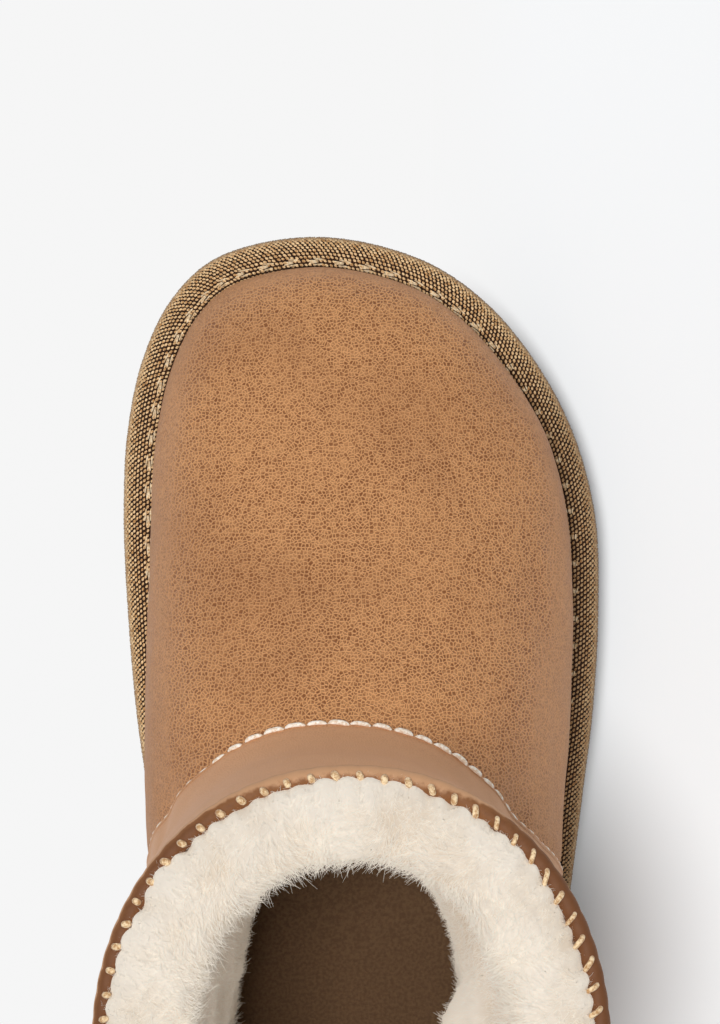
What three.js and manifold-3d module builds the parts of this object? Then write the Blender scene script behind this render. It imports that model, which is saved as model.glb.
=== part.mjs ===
// A small child's sheepskin ankle boot for the right foot: a grained vamp and a smooth shaft over a thick fleece
// lining, a foam midsole wrapped in woven tape, and a rubber outsole. Toe towards +Y, outer side of the foot
// towards +X, +Z up, and the origin on the floor under the second lug of the heel. Millimetres.
import * as THREE from 'three';
import { mergeVertices } from 'three/addons/utils/BufferGeometryUtils.js';
import Module from 'manifold-3d';

const wasm = await Module();
wasm.setup();

// Whole boot
const SOLE_LENGTH = 168;
const BALL_WIDTH = 78;
const SHAFT_HEIGHT = 104; // from the top of the midsole to the collar
const INSTEP_HEIGHT = 56; // from the top of the midsole to the top of the vamp seam
const SHAFT_WIDTH = 71.6; // outside, at the collar
const SEAM_GAP = 0.3; // between any two pieces that meet

// Sole
const OUTSOLE_FOREFOOT = 6.5;
const OUTSOLE_HEEL = 9;
const MIDSOLE_THICKNESS = 9;
const RAND_WIDTH = 4.8; // flat of the midsole that shows outside the upper
const TOE_SPRING = 6.5;
const TOE_SPRING_START = 124; // along the sole
const ARCH_LIFT = 2;
const ARCH_START = 54;
const ARCH_END = 80;
const HEEL_BEVEL = 2.2;
const HEEL_BEVEL_LENGTH = 8;

// Tread
const LUG_DEPTH = 2.2;
const LUG_LENGTH = 6.5; // along the boot
const LUG_PITCH = 10.2;
const LUG_COUNT = 15;
const LUG_CHEVRON = 4; // how far a lug's middle runs ahead of its ends
const FIRST_LUG = 8; // rear edge of the rearmost lug's ends, along the sole
const TREAD_INSET = 3; // lugs inside the sole's edge
const LUG_ROOT = 0.5; // how far the lugs reach into the outsole
const HEEL_ORIGIN = FIRST_LUG + LUG_PITCH + LUG_CHEVRON + LUG_LENGTH / 2;

// Upper
const LEATHER = 1.8;
const SHAFT_LAP = 0.5; // the shaft stands this much proud of the vamp at their seam
const INNER_WALL = SHAFT_LAP + LEATHER;
const BULGE_HEIGHT = 18; // where the side of the foot is widest
const BLEND = 6; // softness of the join between foot and shaft
const BINDING_HEIGHT = 2.8;
const BINDING_WIDTH = 2.7;
const BINDING_PROUD = 0.5; // outside the shaft
const SHAFT_TOP = SHAFT_HEIGHT - BINDING_HEIGHT - SEAM_GAP;

// Lining and insole
const INSOLE_THICKNESS = 3;
const LINING_GAP = 0.45; // wider than SEAM_GAP, as the wall and the lining bend together at the instep
const FLEECE_OUTER = INNER_WALL + LINING_GAP;
const FLEECE_BASE = INSOLE_THICKNESS + SEAM_GAP;
const FLEECE_LEG = 12; // thickness in the shaft
const FLEECE_FOOT = 8.5; // thickness at the insole
const FLEECE_LEG_START = 36; // height where the full thickness begins
const FLEECE_RISE = 2; // the pile stands above the collar
const TUFT_RELIEF = 0.8;

// Outline of the sole from heel to toe. along is a share of SOLE_LENGTH, inner and outer are shares of half of
// BALL_WIDTH. innerBody and outerBody are shares of RAND_WIDTH by which the widest line of the upper lies inside
// the edge of the sole.
const OUTLINE = [
  { along: 0.0, inner: 0.03, outer: 0.03, innerBody: 0.7, outerBody: 0.7 },
  { along: 0.02, inner: -0.34, outer: 0.39, innerBody: 0.6, outerBody: 0.65 },
  { along: 0.075, inner: -0.58, outer: 0.63, innerBody: 0.4, outerBody: 0.5 },
  { along: 0.17, inner: -0.71, outer: 0.77, innerBody: 0.15, outerBody: 0.4 },
  { along: 0.27, inner: -0.765, outer: 0.83, innerBody: -0.1, outerBody: 0.3 },
  { along: 0.38, inner: -0.835, outer: 0.895, innerBody: -0.25, outerBody: 0.35 },
  { along: 0.46, inner: -0.895, outer: 0.94, innerBody: 0.0, outerBody: 0.55 },
  { along: 0.54, inner: -0.945, outer: 0.983, innerBody: 0.33, outerBody: 0.72 },
  { along: 0.64, inner: -0.982, outer: 1.007, innerBody: 0.65, outerBody: 0.76 },
  { along: 0.73, inner: -0.998, outer: 0.992, innerBody: 0.88, outerBody: 0.74 },
  { along: 0.81, inner: -0.982, outer: 0.9, innerBody: 1.03, outerBody: 0.65 },
  { along: 0.88, inner: -0.918, outer: 0.738, innerBody: 1.13, outerBody: 0.72 },
  { along: 0.94, inner: -0.792, outer: 0.515, innerBody: 1.3, outerBody: 0.78 },
  { along: 0.98, inner: -0.6, outer: 0.24, innerBody: 1.4, outerBody: 0.82 },
  { along: 1.0, inner: -0.19, outer: -0.19, innerBody: 0.98, outerBody: 0.98 },
];

// Crown of the foot: along is a share of SOLE_LENGTH, crown a share of INSTEP_HEIGHT.
const CROWN = [
  { along: 0.0, crown: 0.9 },
  { along: 0.12, crown: 1.04 },
  { along: 0.3, crown: 1.14 },
  { along: 0.45, crown: 1.12 },
  { along: 0.55, crown: 1.0 },
  { along: 0.63, crown: 0.85 },
  { along: 0.72, crown: 0.715 },
  { along: 0.81, crown: 0.635 },
  { along: 0.9, crown: 0.6 },
  { along: 1.0, crown: 0.58 },
];

// Sections of the shaft: rise is a share of SHAFT_HEIGHT, back and front are shares of SOLE_LENGTH, width and lean
// are shares of SHAFT_WIDTH. lean is how far the boot bends over to the outer side, and the instep goes with it.
const SHAFT = [
  { rise: 0.0, back: 0.05, front: 0.47, width: 0.74, lean: 0.0 },
  { rise: 0.18, back: 0.022, front: 0.49, width: 0.845, lean: -0.006 },
  { rise: 0.36, back: 0.03, front: 0.512, width: 0.88, lean: -0.03 },
  { rise: 0.54, back: 0.044, front: 0.527, width: 0.895, lean: -0.047 },
  { rise: 0.72, back: 0.05, front: 0.525, width: 0.925, lean: -0.042 },
  { rise: 0.88, back: 0.051, front: 0.523, width: 0.975, lean: -0.028 },
  { rise: 1.0, back: 0.051, front: 0.519, width: 1.0, lean: -0.017 },
];

// The vamp seam seen from the side: along is a share of SOLE_LENGTH, rise a share of INSTEP_HEIGHT.
const VAMP_SEAM = [
  { along: 0.585, rise: 1.1 },
  { along: 0.545, rise: 1.04 },
  { along: 0.522, rise: 1.005 },
  { along: 0.5, rise: 0.955 },
  { along: 0.475, rise: 0.88 },
  { along: 0.455, rise: 0.8 },
  { along: 0.435, rise: 0.68 },
  { along: 0.41, rise: 0.47 },
  { along: 0.385, rise: 0.22 },
  { along: 0.36, rise: -0.12 },
];

// Round side of the wrapped midsole: rise is a share of MIDSOLE_THICKNESS, inset a share of RAND_WIDTH.
const RAND_SIDE = [
  { rise: 0.0, inset: 0.28 },
  { rise: 0.16, inset: 0.08 },
  { rise: 0.42, inset: 0.0 },
  { rise: 0.68, inset: 0.09 },
  { rise: 0.87, inset: 0.32 },
  { rise: 0.97, inset: 0.62 },
  { rise: 1.0, inset: 1.0 },
];

// Side of the outsole above its lugs, with a groove: rise is a share of the height there, inset a share of
// RAND_WIDTH.
const OUTSOLE_SIDE = [
  { rise: 0.0, inset: 0.42 },
  { rise: 0.14, inset: 0.24 },
  { rise: 0.48, inset: 0.22 },
  { rise: 0.54, inset: 0.36 },
  { rise: 0.68, inset: 0.36 },
  { rise: 0.74, inset: 0.22 },
  { rise: 1.0, inset: 0.24 },
];

// Round section of the collar's binding: out is a share of BINDING_WIDTH from its inner side, up a share of
// BINDING_HEIGHT.
const BINDING_SECTION = [
  { out: 0.2, up: 0.0 },
  { out: 0.85, up: 0.0 },
  { out: 1.0, up: 0.4 },
  { out: 0.86, up: 0.82 },
  { out: 0.5, up: 1.0 },
  { out: 0.12, up: 0.8 },
  { out: 0.0, up: 0.35 },
];

// The fleece's round rim: inset is a share of its thickness in the leg, rise a share of FLEECE_RISE above the
// collar.
const FLEECE_RIM = [
  { inset: 0.0, rise: -0.3 },
  { inset: 0.1, rise: 0.45 },
  { inset: 0.35, rise: 1.0 },
  { inset: 0.68, rise: 0.55 },
  { inset: 0.92, rise: -1.2 },
];

// Density of the facets
const COLUMNS = 52;
const LEG_LEVELS = 18;
const PILE_LEVELS = 12;
const OUTLINE_SAMPLES = 360;
const SEAM_SAMPLES = 18;

// Roundness of the forms
const FOOT_SQUARENESS = 2.4;
const SHAFT_SQUARENESS = 2.1;
const FOOT_MIDDLE = 0.53 * SOLE_LENGTH;
const SHAFT_MIDDLE = 0.26 * SOLE_LENGTH;
const FOOT_SCALE = 34; // a form's share beyond its edge turned into about millimetres
const SHAFT_SCALE = 33;
const CROWN_INSET = 1.15; // the crown of the toe thins a little faster than the sides
const FARTHEST = 2; // search limit, in half lengths

const { lerp, clamp, smoothstep } = THREE.MathUtils;

// Smooth curve through the rows of a table, read at x
function readTable(rows, xName, yName, x) {
  const last = rows.length - 1;
  if (x <= rows[0][xName]) return rows[0][yName];
  if (x >= rows[last][xName]) return rows[last][yName];
  let i = 0;
  while (rows[i + 1][xName] < x) i += 1;
  const slopeAt = (k) => {
    const a = rows[Math.max(0, k - 1)];
    const b = rows[Math.min(last, k + 1)];
    return (b[yName] - a[yName]) / (b[xName] - a[xName]);
  };
  const span = rows[i + 1][xName] - rows[i][xName];
  const t = (x - rows[i][xName]) / span;
  const eased = t * t * (3 - 2 * t);
  const leaving = slopeAt(i) * span * t * (1 - t) * (1 - t);
  const arriving = slopeAt(i + 1) * span * t * t * (1 - t);
  return lerp(rows[i][yName], rows[i + 1][yName], eased) + leaving - arriving;
}

// Heights of the sole at a place along it
function toeLift(y) {
  const along = Math.max(0, (y - TOE_SPRING_START) / (SOLE_LENGTH - TOE_SPRING_START));
  return TOE_SPRING * along ** 2;
}

function treadBottom(y) {
  const bevel = clamp(1 - y / HEEL_BEVEL_LENGTH, 0, 1);
  const arch = clamp((y - ARCH_START) / (ARCH_END - ARCH_START), 0, 1);
  return HEEL_BEVEL * bevel ** 2 + ARCH_LIFT * Math.sin(Math.PI * arch) ** 2 + toeLift(y);
}

function outsoleTop(y) {
  const forward = smoothstep(y, 0.3 * SOLE_LENGTH, 0.65 * SOLE_LENGTH);
  return lerp(OUTSOLE_HEEL, OUTSOLE_FOREFOOT, forward) + toeLift(y);
}

const outsoleBottom = (y) => treadBottom(y) + LUG_DEPTH;
const midsoleBottom = (y) => outsoleTop(y) + SEAM_GAP;
const midsoleTop = (y) => midsoleBottom(y) + MIDSOLE_THICKNESS;
const upperBase = (y) => midsoleTop(y) + SEAM_GAP;

// Closed smooth edge of the sole, clockwise from above. body is how far inside it the upper is widest.
function soleOutline() {
  const half = BALL_WIDTH / 2;
  const outer = OUTLINE.map((row) => [row.outer * half, row.along * SOLE_LENGTH, row.outerBody * RAND_WIDTH]);
  const inner = OUTLINE.map((row) => [row.inner * half, row.along * SOLE_LENGTH, row.innerBody * RAND_WIDTH]);
  const stations = [...outer.reverse(), ...inner.slice(1, -1)];
  const curve = new THREE.CatmullRomCurve3(
    stations.map((p) => new THREE.Vector3(...p)),
    true,
    'centripetal',
  );
  const points = curve.getSpacedPoints(OUTLINE_SAMPLES).slice(0, OUTLINE_SAMPLES);
  return points.map((p, i) => {
    const before = points[(i + OUTLINE_SAMPLES - 1) % OUTLINE_SAMPLES];
    const after = points[(i + 1) % OUTLINE_SAMPLES];
    const along = new THREE.Vector2(after.x - before.x, after.y - before.y).normalize();
    return { x: p.x, y: p.y, body: p.z, inwards: new THREE.Vector2(along.y, -along.x) };
  });
}

const soleEdge = soleOutline();

// The sole's edge moved inwards, read as a distance from the middle of the foot in a direction
function reachOf(insetAt) {
  const polar = soleEdge
    .map((p) => {
      const x = p.x + p.inwards.x * insetAt(p);
      const y = p.y + p.inwards.y * insetAt(p) - FOOT_MIDDLE;
      return { angle: Math.atan2(x, y), reach: Math.hypot(x, y) };
    })
    .sort((a, b) => a.angle - b.angle);
  const first = polar[0];
  const last = polar[polar.length - 1];
  const turn = 2 * Math.PI;
  const table = [
    { angle: last.angle - turn, reach: last.reach },
    ...polar,
    { angle: first.angle + turn, reach: first.reach },
  ];
  return (angle) => {
    let low = 0;
    let high = table.length - 1;
    while (high - low > 1) {
      const middle = Math.floor((low + high) / 2);
      if (table[middle].angle <= angle) low = middle;
      else high = middle;
    }
    const t = (angle - table[low].angle) / (table[high].angle - table[low].angle);
    return lerp(table[low].reach, table[high].reach, t);
  };
}

const featherReach = reachOf(() => RAND_WIDTH);
const bodyReach = reachOf((p) => p.body);

const superRadius = (a, b, n) => (a ** n + b ** n) ** (1 / n);

const leanAt = (h) => readTable(SHAFT, 'rise', 'lean', h / SHAFT_HEIGHT) * SHAFT_WIDTH;

// Below 0 inside the form of the foot, made smaller all round by inset. h is the height above the midsole.
function footForm(x, y, h, inset) {
  const across = x - leanAt(h);
  const angle = Math.atan2(across, y - FOOT_MIDDLE);
  const bulge = smoothstep(h, -0.2 * BULGE_HEIGHT, BULGE_HEIGHT);
  const reach = lerp(featherReach(angle), bodyReach(angle), bulge) - inset;
  const crown = readTable(CROWN, 'along', 'crown', y / SOLE_LENGTH) * INSTEP_HEIGHT - CROWN_INSET * inset;
  const share = Math.hypot(across, y - FOOT_MIDDLE) / reach;
  return (superRadius(share, Math.max(0, h / crown), FOOT_SQUARENESS) - 1) * FOOT_SCALE;
}

// Below 0 inside the form of the shaft
function shaftForm(x, y, h, inset) {
  const rise = h / SHAFT_HEIGHT;
  const back = readTable(SHAFT, 'rise', 'back', rise) * SOLE_LENGTH;
  const front = readTable(SHAFT, 'rise', 'front', rise) * SOLE_LENGTH;
  const halfWidth = (readTable(SHAFT, 'rise', 'width', rise) * SHAFT_WIDTH) / 2;
  const across = Math.abs(x - leanAt(h)) / (halfWidth - inset);
  const along = Math.abs(y - (back + front) / 2) / ((front - back) / 2 - inset);
  return (superRadius(across, along, SHAFT_SQUARENESS) - 1) * SHAFT_SCALE;
}

// Below 0 inside the whole boot: the two forms with a soft join
function bootForm(x, y, h, inset) {
  const foot = footForm(x, y, h, inset);
  const shaft = shaftForm(x, y, h, inset);
  const mix = Math.max(0, BLEND - Math.abs(foot - shaft)) / BLEND;
  return Math.min(foot, shaft) - (mix * mix * BLEND) / 4;
}

// How far a line from a point inside the boot runs before it leaves it
function runInside(h, inset, x0, y0, dx, dy, limit) {
  let near = 0;
  let far = limit;
  while (far - near > 1e-6 * limit) {
    const middle = (near + far) / 2;
    if (bootForm(x0 + dx * middle, y0 + dy * middle, h, inset) < 0) near = middle;
    else far = middle;
  }
  return near;
}

const frontAt = (h, inset) => SHAFT_MIDDLE + runInside(h, inset, 0, SHAFT_MIDDLE, 0, 1, SOLE_LENGTH);
const backAt = (h, inset) => SHAFT_MIDDLE - runInside(h, inset, 0, SHAFT_MIDDLE, 0, -1, SOLE_LENGTH);

// One level ring of the boot: from the toe round the outer side to the heel and back. Rings of every inset share
// the columns of the outside, so that nested faces stay parallel.
function levelRing(h, inset, reliefAt = () => 0) {
  const front = frontAt(h, 0);
  const back = backAt(h, 0);
  const centre = (front + back) / 2;
  return Array.from({ length: COLUMNS }, (_, i) => {
    const angle = (2 * Math.PI * i) / COLUMNS;
    const dx = (Math.sin(angle) * BALL_WIDTH) / 2;
    const dy = (Math.cos(angle) * (front - back)) / 2;
    const run = runInside(h, inset + reliefAt(i), 0, centre, dx, dy, FARTHEST);
    const y = centre + dy * run;
    return new THREE.Vector3(dx * run, y, upperBase(y) + h);
  });
}

// Heights of rings that lie evenly along the front of the boot
function levelHeights(count, low, high, inset) {
  const steps = 240;
  const heights = Array.from({ length: steps + 1 }, (_, i) => lerp(low, high, i / steps));
  const walked = [0];
  for (let i = 1; i <= steps; i += 1) {
    const run = frontAt(heights[i], inset) - frontAt(heights[i - 1], inset);
    walked.push(walked[i - 1] + Math.hypot(heights[i] - heights[i - 1], run));
  }
  return Array.from({ length: count }, (_, k) => {
    const goal = (walked[steps] * k) / (count - 1);
    let i = 1;
    while (i < steps && walked[i] < goal) i += 1;
    const t = clamp((goal - walked[i - 1]) / (walked[i] - walked[i - 1]), 0, 1);
    return lerp(heights[i - 1], heights[i], t);
  });
}

// A ring on the sole's edge, moved inwards, with its height read along the boot
function soleRing(inset, heightAt) {
  return Array.from({ length: COLUMNS }, (_, i) => {
    const angle = (2 * Math.PI * i) / COLUMNS;
    const aim = Math.atan2((Math.sin(angle) * BALL_WIDTH) / 2, (Math.cos(angle) * SOLE_LENGTH) / 2);
    const offAim = (p) => {
      const turn = Math.abs(Math.atan2(p.x, p.y - SOLE_LENGTH / 2) - aim);
      return Math.min(turn, 2 * Math.PI - turn);
    };
    const p = soleEdge.reduce((best, q) => (offAim(q) < offAim(best) ? q : best));
    const y = p.y + p.inwards.y * inset;
    return new THREE.Vector3(p.x + p.inwards.x * inset, y, heightAt(y));
  });
}

function meshOf(positions, indices) {
  const geometry = new THREE.BufferGeometry();
  geometry.setAttribute('position', new THREE.Float32BufferAttribute(positions, 3));
  geometry.setIndex(indices);
  return geometry;
}

// Quads between ring k and ring k + 1 of a stack
function wallIndices(k, next) {
  return Array.from({ length: COLUMNS }, (_, i) => {
    const j = (i + 1) % COLUMNS;
    const low = k * COLUMNS;
    const high = next * COLUMNS;
    return [low + i, high + j, low + j, low + i, high + i, high + j];
  }).flat();
}

// Triangles across a ring, rung by rung from toe to heel, so that the face follows the ring's rise and fall
function ladderIndices(ring, facesUp) {
  const rungs = COLUMNS / 2;
  const first = ring * COLUMNS;
  const indices = [];
  const add = (a, b, c) => indices.push(a, facesUp ? c : b, facesUp ? b : c);
  for (let i = 0; i < rungs; i += 1) {
    const left = first + ((COLUMNS - i) % COLUMNS);
    if (i > 0) add(left, first + i, first + i + 1);
    if (i < rungs - 1) add(left, first + i + 1, first + COLUMNS - i - 1);
  }
  return indices;
}

const flatten = (rings) => rings.flat().flatMap((p) => [p.x, p.y, p.z]);

// Hollow solid whose last ring joins its first
function loopSolid(rings) {
  return meshOf(flatten(rings), rings.flatMap((_, k) => wallIndices(k, (k + 1) % rings.length)));
}

// Full solid with a face across its first and last ring
function stackSolid(rings) {
  const top = rings.length - 1;
  const walls = rings.slice(0, top).flatMap((_, k) => wallIndices(k, k + 1));
  return meshOf(flatten(rings), [...ladderIndices(0, false), ...walls, ...ladderIndices(top, true)]);
}

function toManifold(geometry) {
  const bare = new THREE.BufferGeometry();
  bare.setAttribute('position', geometry.getAttribute('position'));
  bare.setIndex(geometry.index);
  const merged = mergeVertices(bare, 1e-4);
  return new wasm.Manifold(
    new wasm.Mesh({
      numProp: 3,
      vertProperties: merged.attributes.position.array,
      triVerts: new Uint32Array(merged.index.array),
    }),
  );
}

function toGeometry(solid) {
  const { vertProperties, triVerts } = solid.getMesh();
  return meshOf(Array.from(vertProperties), Array.from(triVerts));
}

// Everything on one side of the vamp seam, seen from the side. ahead is +1 for the vamp and -1 for the shaft.
function sideOfSeam(ahead) {
  const course = new THREE.SplineCurve(
    VAMP_SEAM.map((row) => {
      const y = row.along * SOLE_LENGTH;
      return new THREE.Vector2(y, upperBase(y) + row.rise * INSTEP_HEIGHT);
    }),
  );
  const edge = course.getSpacedPoints(SEAM_SAMPLES).map((p, i) => {
    const tangent = course.getTangentAt(i / SEAM_SAMPLES);
    return new THREE.Vector2(-tangent.y, tangent.x).multiplyScalar((ahead * SEAM_GAP) / 2).add(p);
  });
  const far = ahead * SOLE_LENGTH * FARTHEST;
  const top = edge[0];
  const bottom = edge[edge.length - 1];
  const corners =
    ahead > 0
      ? [new THREE.Vector2(bottom.x, -SOLE_LENGTH), new THREE.Vector2(far, -SOLE_LENGTH), new THREE.Vector2(far, top.y)]
      : [
          new THREE.Vector2(bottom.x, -SOLE_LENGTH),
          new THREE.Vector2(far, -SOLE_LENGTH),
          new THREE.Vector2(far, SOLE_LENGTH * FARTHEST),
          new THREE.Vector2(top.x, SOLE_LENGTH * FARTHEST),
        ];
  const block = new THREE.ExtrudeGeometry(new THREE.Shape([...edge, ...corners]), {
    depth: 2 * BALL_WIDTH,
    bevelEnabled: false,
  });
  const alongY = new THREE.Vector3(0, 1, 0);
  const alongZ = new THREE.Vector3(0, 0, 1);
  const alongX = new THREE.Vector3(1, 0, 0);
  block.applyMatrix4(new THREE.Matrix4().makeBasis(alongY, alongZ, alongX));
  block.translate(-BALL_WIDTH, 0, 0);
  return toManifold(block);
}

const upperHeights = [0, ...levelHeights(LEG_LEVELS, FLEECE_BASE, SHAFT_TOP, 0)];

// Wall of the whole upper between its outside and the lining's room, kept on one side of the seam
function upperPanel(outerInset, ahead) {
  const outside = upperHeights.map((h) => levelRing(h, outerInset));
  const inside = upperHeights.map((h) => levelRing(h, INNER_WALL));
  const wall = toManifold(loopSolid([...outside, ...inside.reverse()]));
  return toGeometry(wall.intersect(sideOfSeam(ahead)));
}

function collarBinding() {
  const rings = BINDING_SECTION.map((row) => {
    const inset = BINDING_WIDTH * (1 - row.out) - BINDING_PROUD;
    return levelRing(SHAFT_HEIGHT - BINDING_HEIGHT * (1 - row.up), inset);
  });
  return loopSolid(rings);
}

const fleeceThickness = (h) => lerp(FLEECE_FOOT, FLEECE_LEG, smoothstep(h, FLEECE_BASE, FLEECE_LEG_START));

// Lumps of the pile over column i and row k
const tuft = (i, k) => TUFT_RELIEF * Math.sin(2.1 * i + 1.3 * k) * Math.cos(0.9 * i - 2.3 * k);

function fleeceLining() {
  const outside = upperHeights.slice(1).map((h) => levelRing(h, FLEECE_OUTER));
  const rim = FLEECE_RIM.map((row, k) =>
    levelRing(SHAFT_HEIGHT + FLEECE_RISE * row.rise, FLEECE_OUTER + FLEECE_LEG * row.inset).map((p, i) => {
      p.z += k > 0 ? tuft(i, k) : 0;
      return p;
    }),
  );
  const pileTop = SHAFT_HEIGHT - FLEECE_LEG / 2;
  const pileInset = FLEECE_OUTER + FLEECE_LEG;
  const inside = levelHeights(PILE_LEVELS, FLEECE_BASE, pileTop, pileInset).map((h, k) =>
    levelRing(h, FLEECE_OUTER + fleeceThickness(h), (i) => (k > 0 ? tuft(i, k) : 0)),
  );
  return loopSolid([...outside, ...rim, ...inside.reverse()]);
}

function insole() {
  const edge = levelRing(0, FLEECE_OUTER);
  const raised = edge.map((p) => new THREE.Vector3(p.x, p.y, p.z + INSOLE_THICKNESS));
  return stackSolid([edge, raised]);
}

function midsole() {
  const rings = RAND_SIDE.map((row) =>
    soleRing(row.inset * RAND_WIDTH, (y) => midsoleBottom(y) + row.rise * MIDSOLE_THICKNESS),
  );
  return stackSolid(rings);
}

// A chevron bar across the whole tread, pointing to the toe
function lugBar(k) {
  const rear = FIRST_LUG + k * LUG_PITCH;
  const half = BALL_WIDTH / 2;
  const shape = new THREE.Shape([
    new THREE.Vector2(-half, rear),
    new THREE.Vector2(0, rear + LUG_CHEVRON),
    new THREE.Vector2(half, rear),
    new THREE.Vector2(half, rear + LUG_LENGTH),
    new THREE.Vector2(0, rear + LUG_CHEVRON + LUG_LENGTH),
    new THREE.Vector2(-half, rear + LUG_LENGTH),
  ]);
  const bar = new THREE.ExtrudeGeometry(shape, { depth: OUTSOLE_HEEL + TOE_SPRING, bevelEnabled: false });
  bar.translate(0, 0, -1);
  return toManifold(bar);
}

function outsole() {
  const body = OUTSOLE_SIDE.map((row) =>
    soleRing(row.inset * RAND_WIDTH, (y) => lerp(outsoleBottom(y), outsoleTop(y), row.rise)),
  );
  const tread = [
    soleRing(TREAD_INSET + LUG_ROOT, treadBottom),
    soleRing(TREAD_INSET, (y) => treadBottom(y) + LUG_ROOT),
    soleRing(TREAD_INSET, (y) => outsoleBottom(y) + LUG_ROOT),
  ];
  const bars = Array.from({ length: LUG_COUNT }, (_, k) => lugBar(k));
  const lugs = wasm.Manifold.union(bars).intersect(toManifold(stackSolid(tread)));
  return toGeometry(toManifold(stackSolid(body)).add(lugs));
}

const rubber = new THREE.MeshStandardMaterial({ color: 0x3a2c20, roughness: 0.85 });
const wovenTape = new THREE.MeshStandardMaterial({ color: 0xa08a52, roughness: 0.9 });
const grainedLeather = new THREE.MeshStandardMaterial({ color: 0xba8a62, roughness: 0.6 });
const smoothLeather = new THREE.MeshStandardMaterial({ color: 0xb98b66, roughness: 0.55 });
const darkLeather = new THREE.MeshStandardMaterial({ color: 0x965f38, roughness: 0.6 });
const fleece = new THREE.MeshStandardMaterial({ color: 0xe9dcc4, roughness: 1 });
const felt = new THREE.MeshStandardMaterial({ color: 0x483627, roughness: 1 });

const boot = new THREE.Group();

function addPiece(name, geometry, material) {
  geometry.translate(0, -HEEL_ORIGIN, 0);
  geometry.computeVertexNormals();
  const mesh = new THREE.Mesh(geometry, material);
  mesh.name = name;
  boot.add(mesh);
}

addPiece('outsole', outsole(), rubber);
addPiece('midsole', midsole(), wovenTape);
addPiece('upper_vamp', upperPanel(SHAFT_LAP, 1), grainedLeather);
addPiece('upper_shaft', upperPanel(0, -1), smoothLeather);
addPiece('collar_binding', collarBinding(), darkLeather);
addPiece('fleece_lining', fleeceLining(), fleece);
addPiece('insole', insole(), felt);

export default boot;
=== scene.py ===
import math

import bpy
import numpy as np
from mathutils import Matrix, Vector, noise


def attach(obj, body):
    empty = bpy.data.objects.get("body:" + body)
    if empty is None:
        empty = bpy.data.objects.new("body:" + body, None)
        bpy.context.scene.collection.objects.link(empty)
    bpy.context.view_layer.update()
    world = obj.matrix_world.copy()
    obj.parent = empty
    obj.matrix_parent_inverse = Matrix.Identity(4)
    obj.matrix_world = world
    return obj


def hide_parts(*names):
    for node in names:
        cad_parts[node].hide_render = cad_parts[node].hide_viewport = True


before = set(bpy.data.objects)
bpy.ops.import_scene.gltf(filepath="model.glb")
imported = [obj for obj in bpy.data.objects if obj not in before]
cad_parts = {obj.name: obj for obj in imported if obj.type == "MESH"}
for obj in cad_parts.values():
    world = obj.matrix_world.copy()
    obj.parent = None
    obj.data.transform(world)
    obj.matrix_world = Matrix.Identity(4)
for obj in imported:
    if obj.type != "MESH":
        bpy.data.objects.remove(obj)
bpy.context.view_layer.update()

MM = 0.001
rng = np.random.default_rng(7)


def table(names, *rows):
    """Rows of numbers under the names of their columns."""
    return [dict(zip(names.split(), row)) for row in rows]


# Whole boot
SOLE_LENGTH = 168
BALL_WIDTH = 78
SHAFT_HEIGHT = 104
INSTEP_HEIGHT = 56
SHAFT_WIDTH = 71.6
SEAM_GAP = 0.3

# Sole
OUTSOLE_FOREFOOT = 6.5
OUTSOLE_HEEL = 9
MIDSOLE_THICKNESS = 9
RAND_WIDTH = 4.8
TOE_SPRING = 6.5
TOE_SPRING_START = 124
ARCH_LIFT = 2
ARCH_START = 54
ARCH_END = 80
HEEL_BEVEL = 2.2
HEEL_BEVEL_LENGTH = 8
LUG_DEPTH = 2.2
LUG_LENGTH = 6.5
LUG_PITCH = 10.2
LUG_COUNT = 15
LUG_CHEVRON = 4
FIRST_LUG = 8
TREAD_INSET = 3
HEEL_ORIGIN = FIRST_LUG + LUG_PITCH + LUG_CHEVRON + LUG_LENGTH / 2

# Upper, lining and insole
LEATHER = 1.8
SHAFT_LAP = 0.5
INNER_WALL = SHAFT_LAP + LEATHER
BULGE_HEIGHT = 18
BLEND = 6
BINDING_HEIGHT = 2.8
BINDING_WIDTH = 2.7
BINDING_PROUD = 0.5
INSOLE_THICKNESS = 3
FLEECE_OUTER = INNER_WALL + 0.45
FLEECE_BASE = INSOLE_THICKNESS + SEAM_GAP
FLEECE_LEG = 12
FLEECE_FOOT = 8.5
FLEECE_LEG_START = 36
FLEECE_RISE = 2

# Thread, tape and pile. Threads are given by their radius.
STITCH_POINTS = 11
SEAM_STITCH_PITCH = 3.3
SEAM_STITCH_LENGTH = 3.0
SEAM_THREAD = 0.36
SEAM_LENGTHS = (0.9, 1.06)
SEAM_SIZES = (0.88, 1.12)
SEAM_AHEAD = 0.25
SEAM_SLANT = 0.16
SEAM_SLANTS = (-0.4, 1.4)
SEAM_DIVE = 0.5
SEAM_SINK = 0.62
SEAM_SINK_START = 15
SEAM_SINK_END = 26
OVERCAST_PITCH = 3.5
OVERCAST_THREAD = 0.36
BEAD_THREAD = 0.5
CHAIN_PITCH = 4.6
CHAIN_THREAD = 0.17
WEAVE_ALONG = 0.8
WEAVE_ACROSS = 0.66
YARN_RISE = 0.26
FIBRE_WIDTH = 0.09
FIBRE_COUNT = 29000
FIBRE_STAND = 1.3
PILE_UPWARD = 1.0
# Painted light: heights above the floor over which the pile's glow fades in
PILE_LIT_BOTTOM = 56
PILE_LIT_TOP = 106

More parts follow.
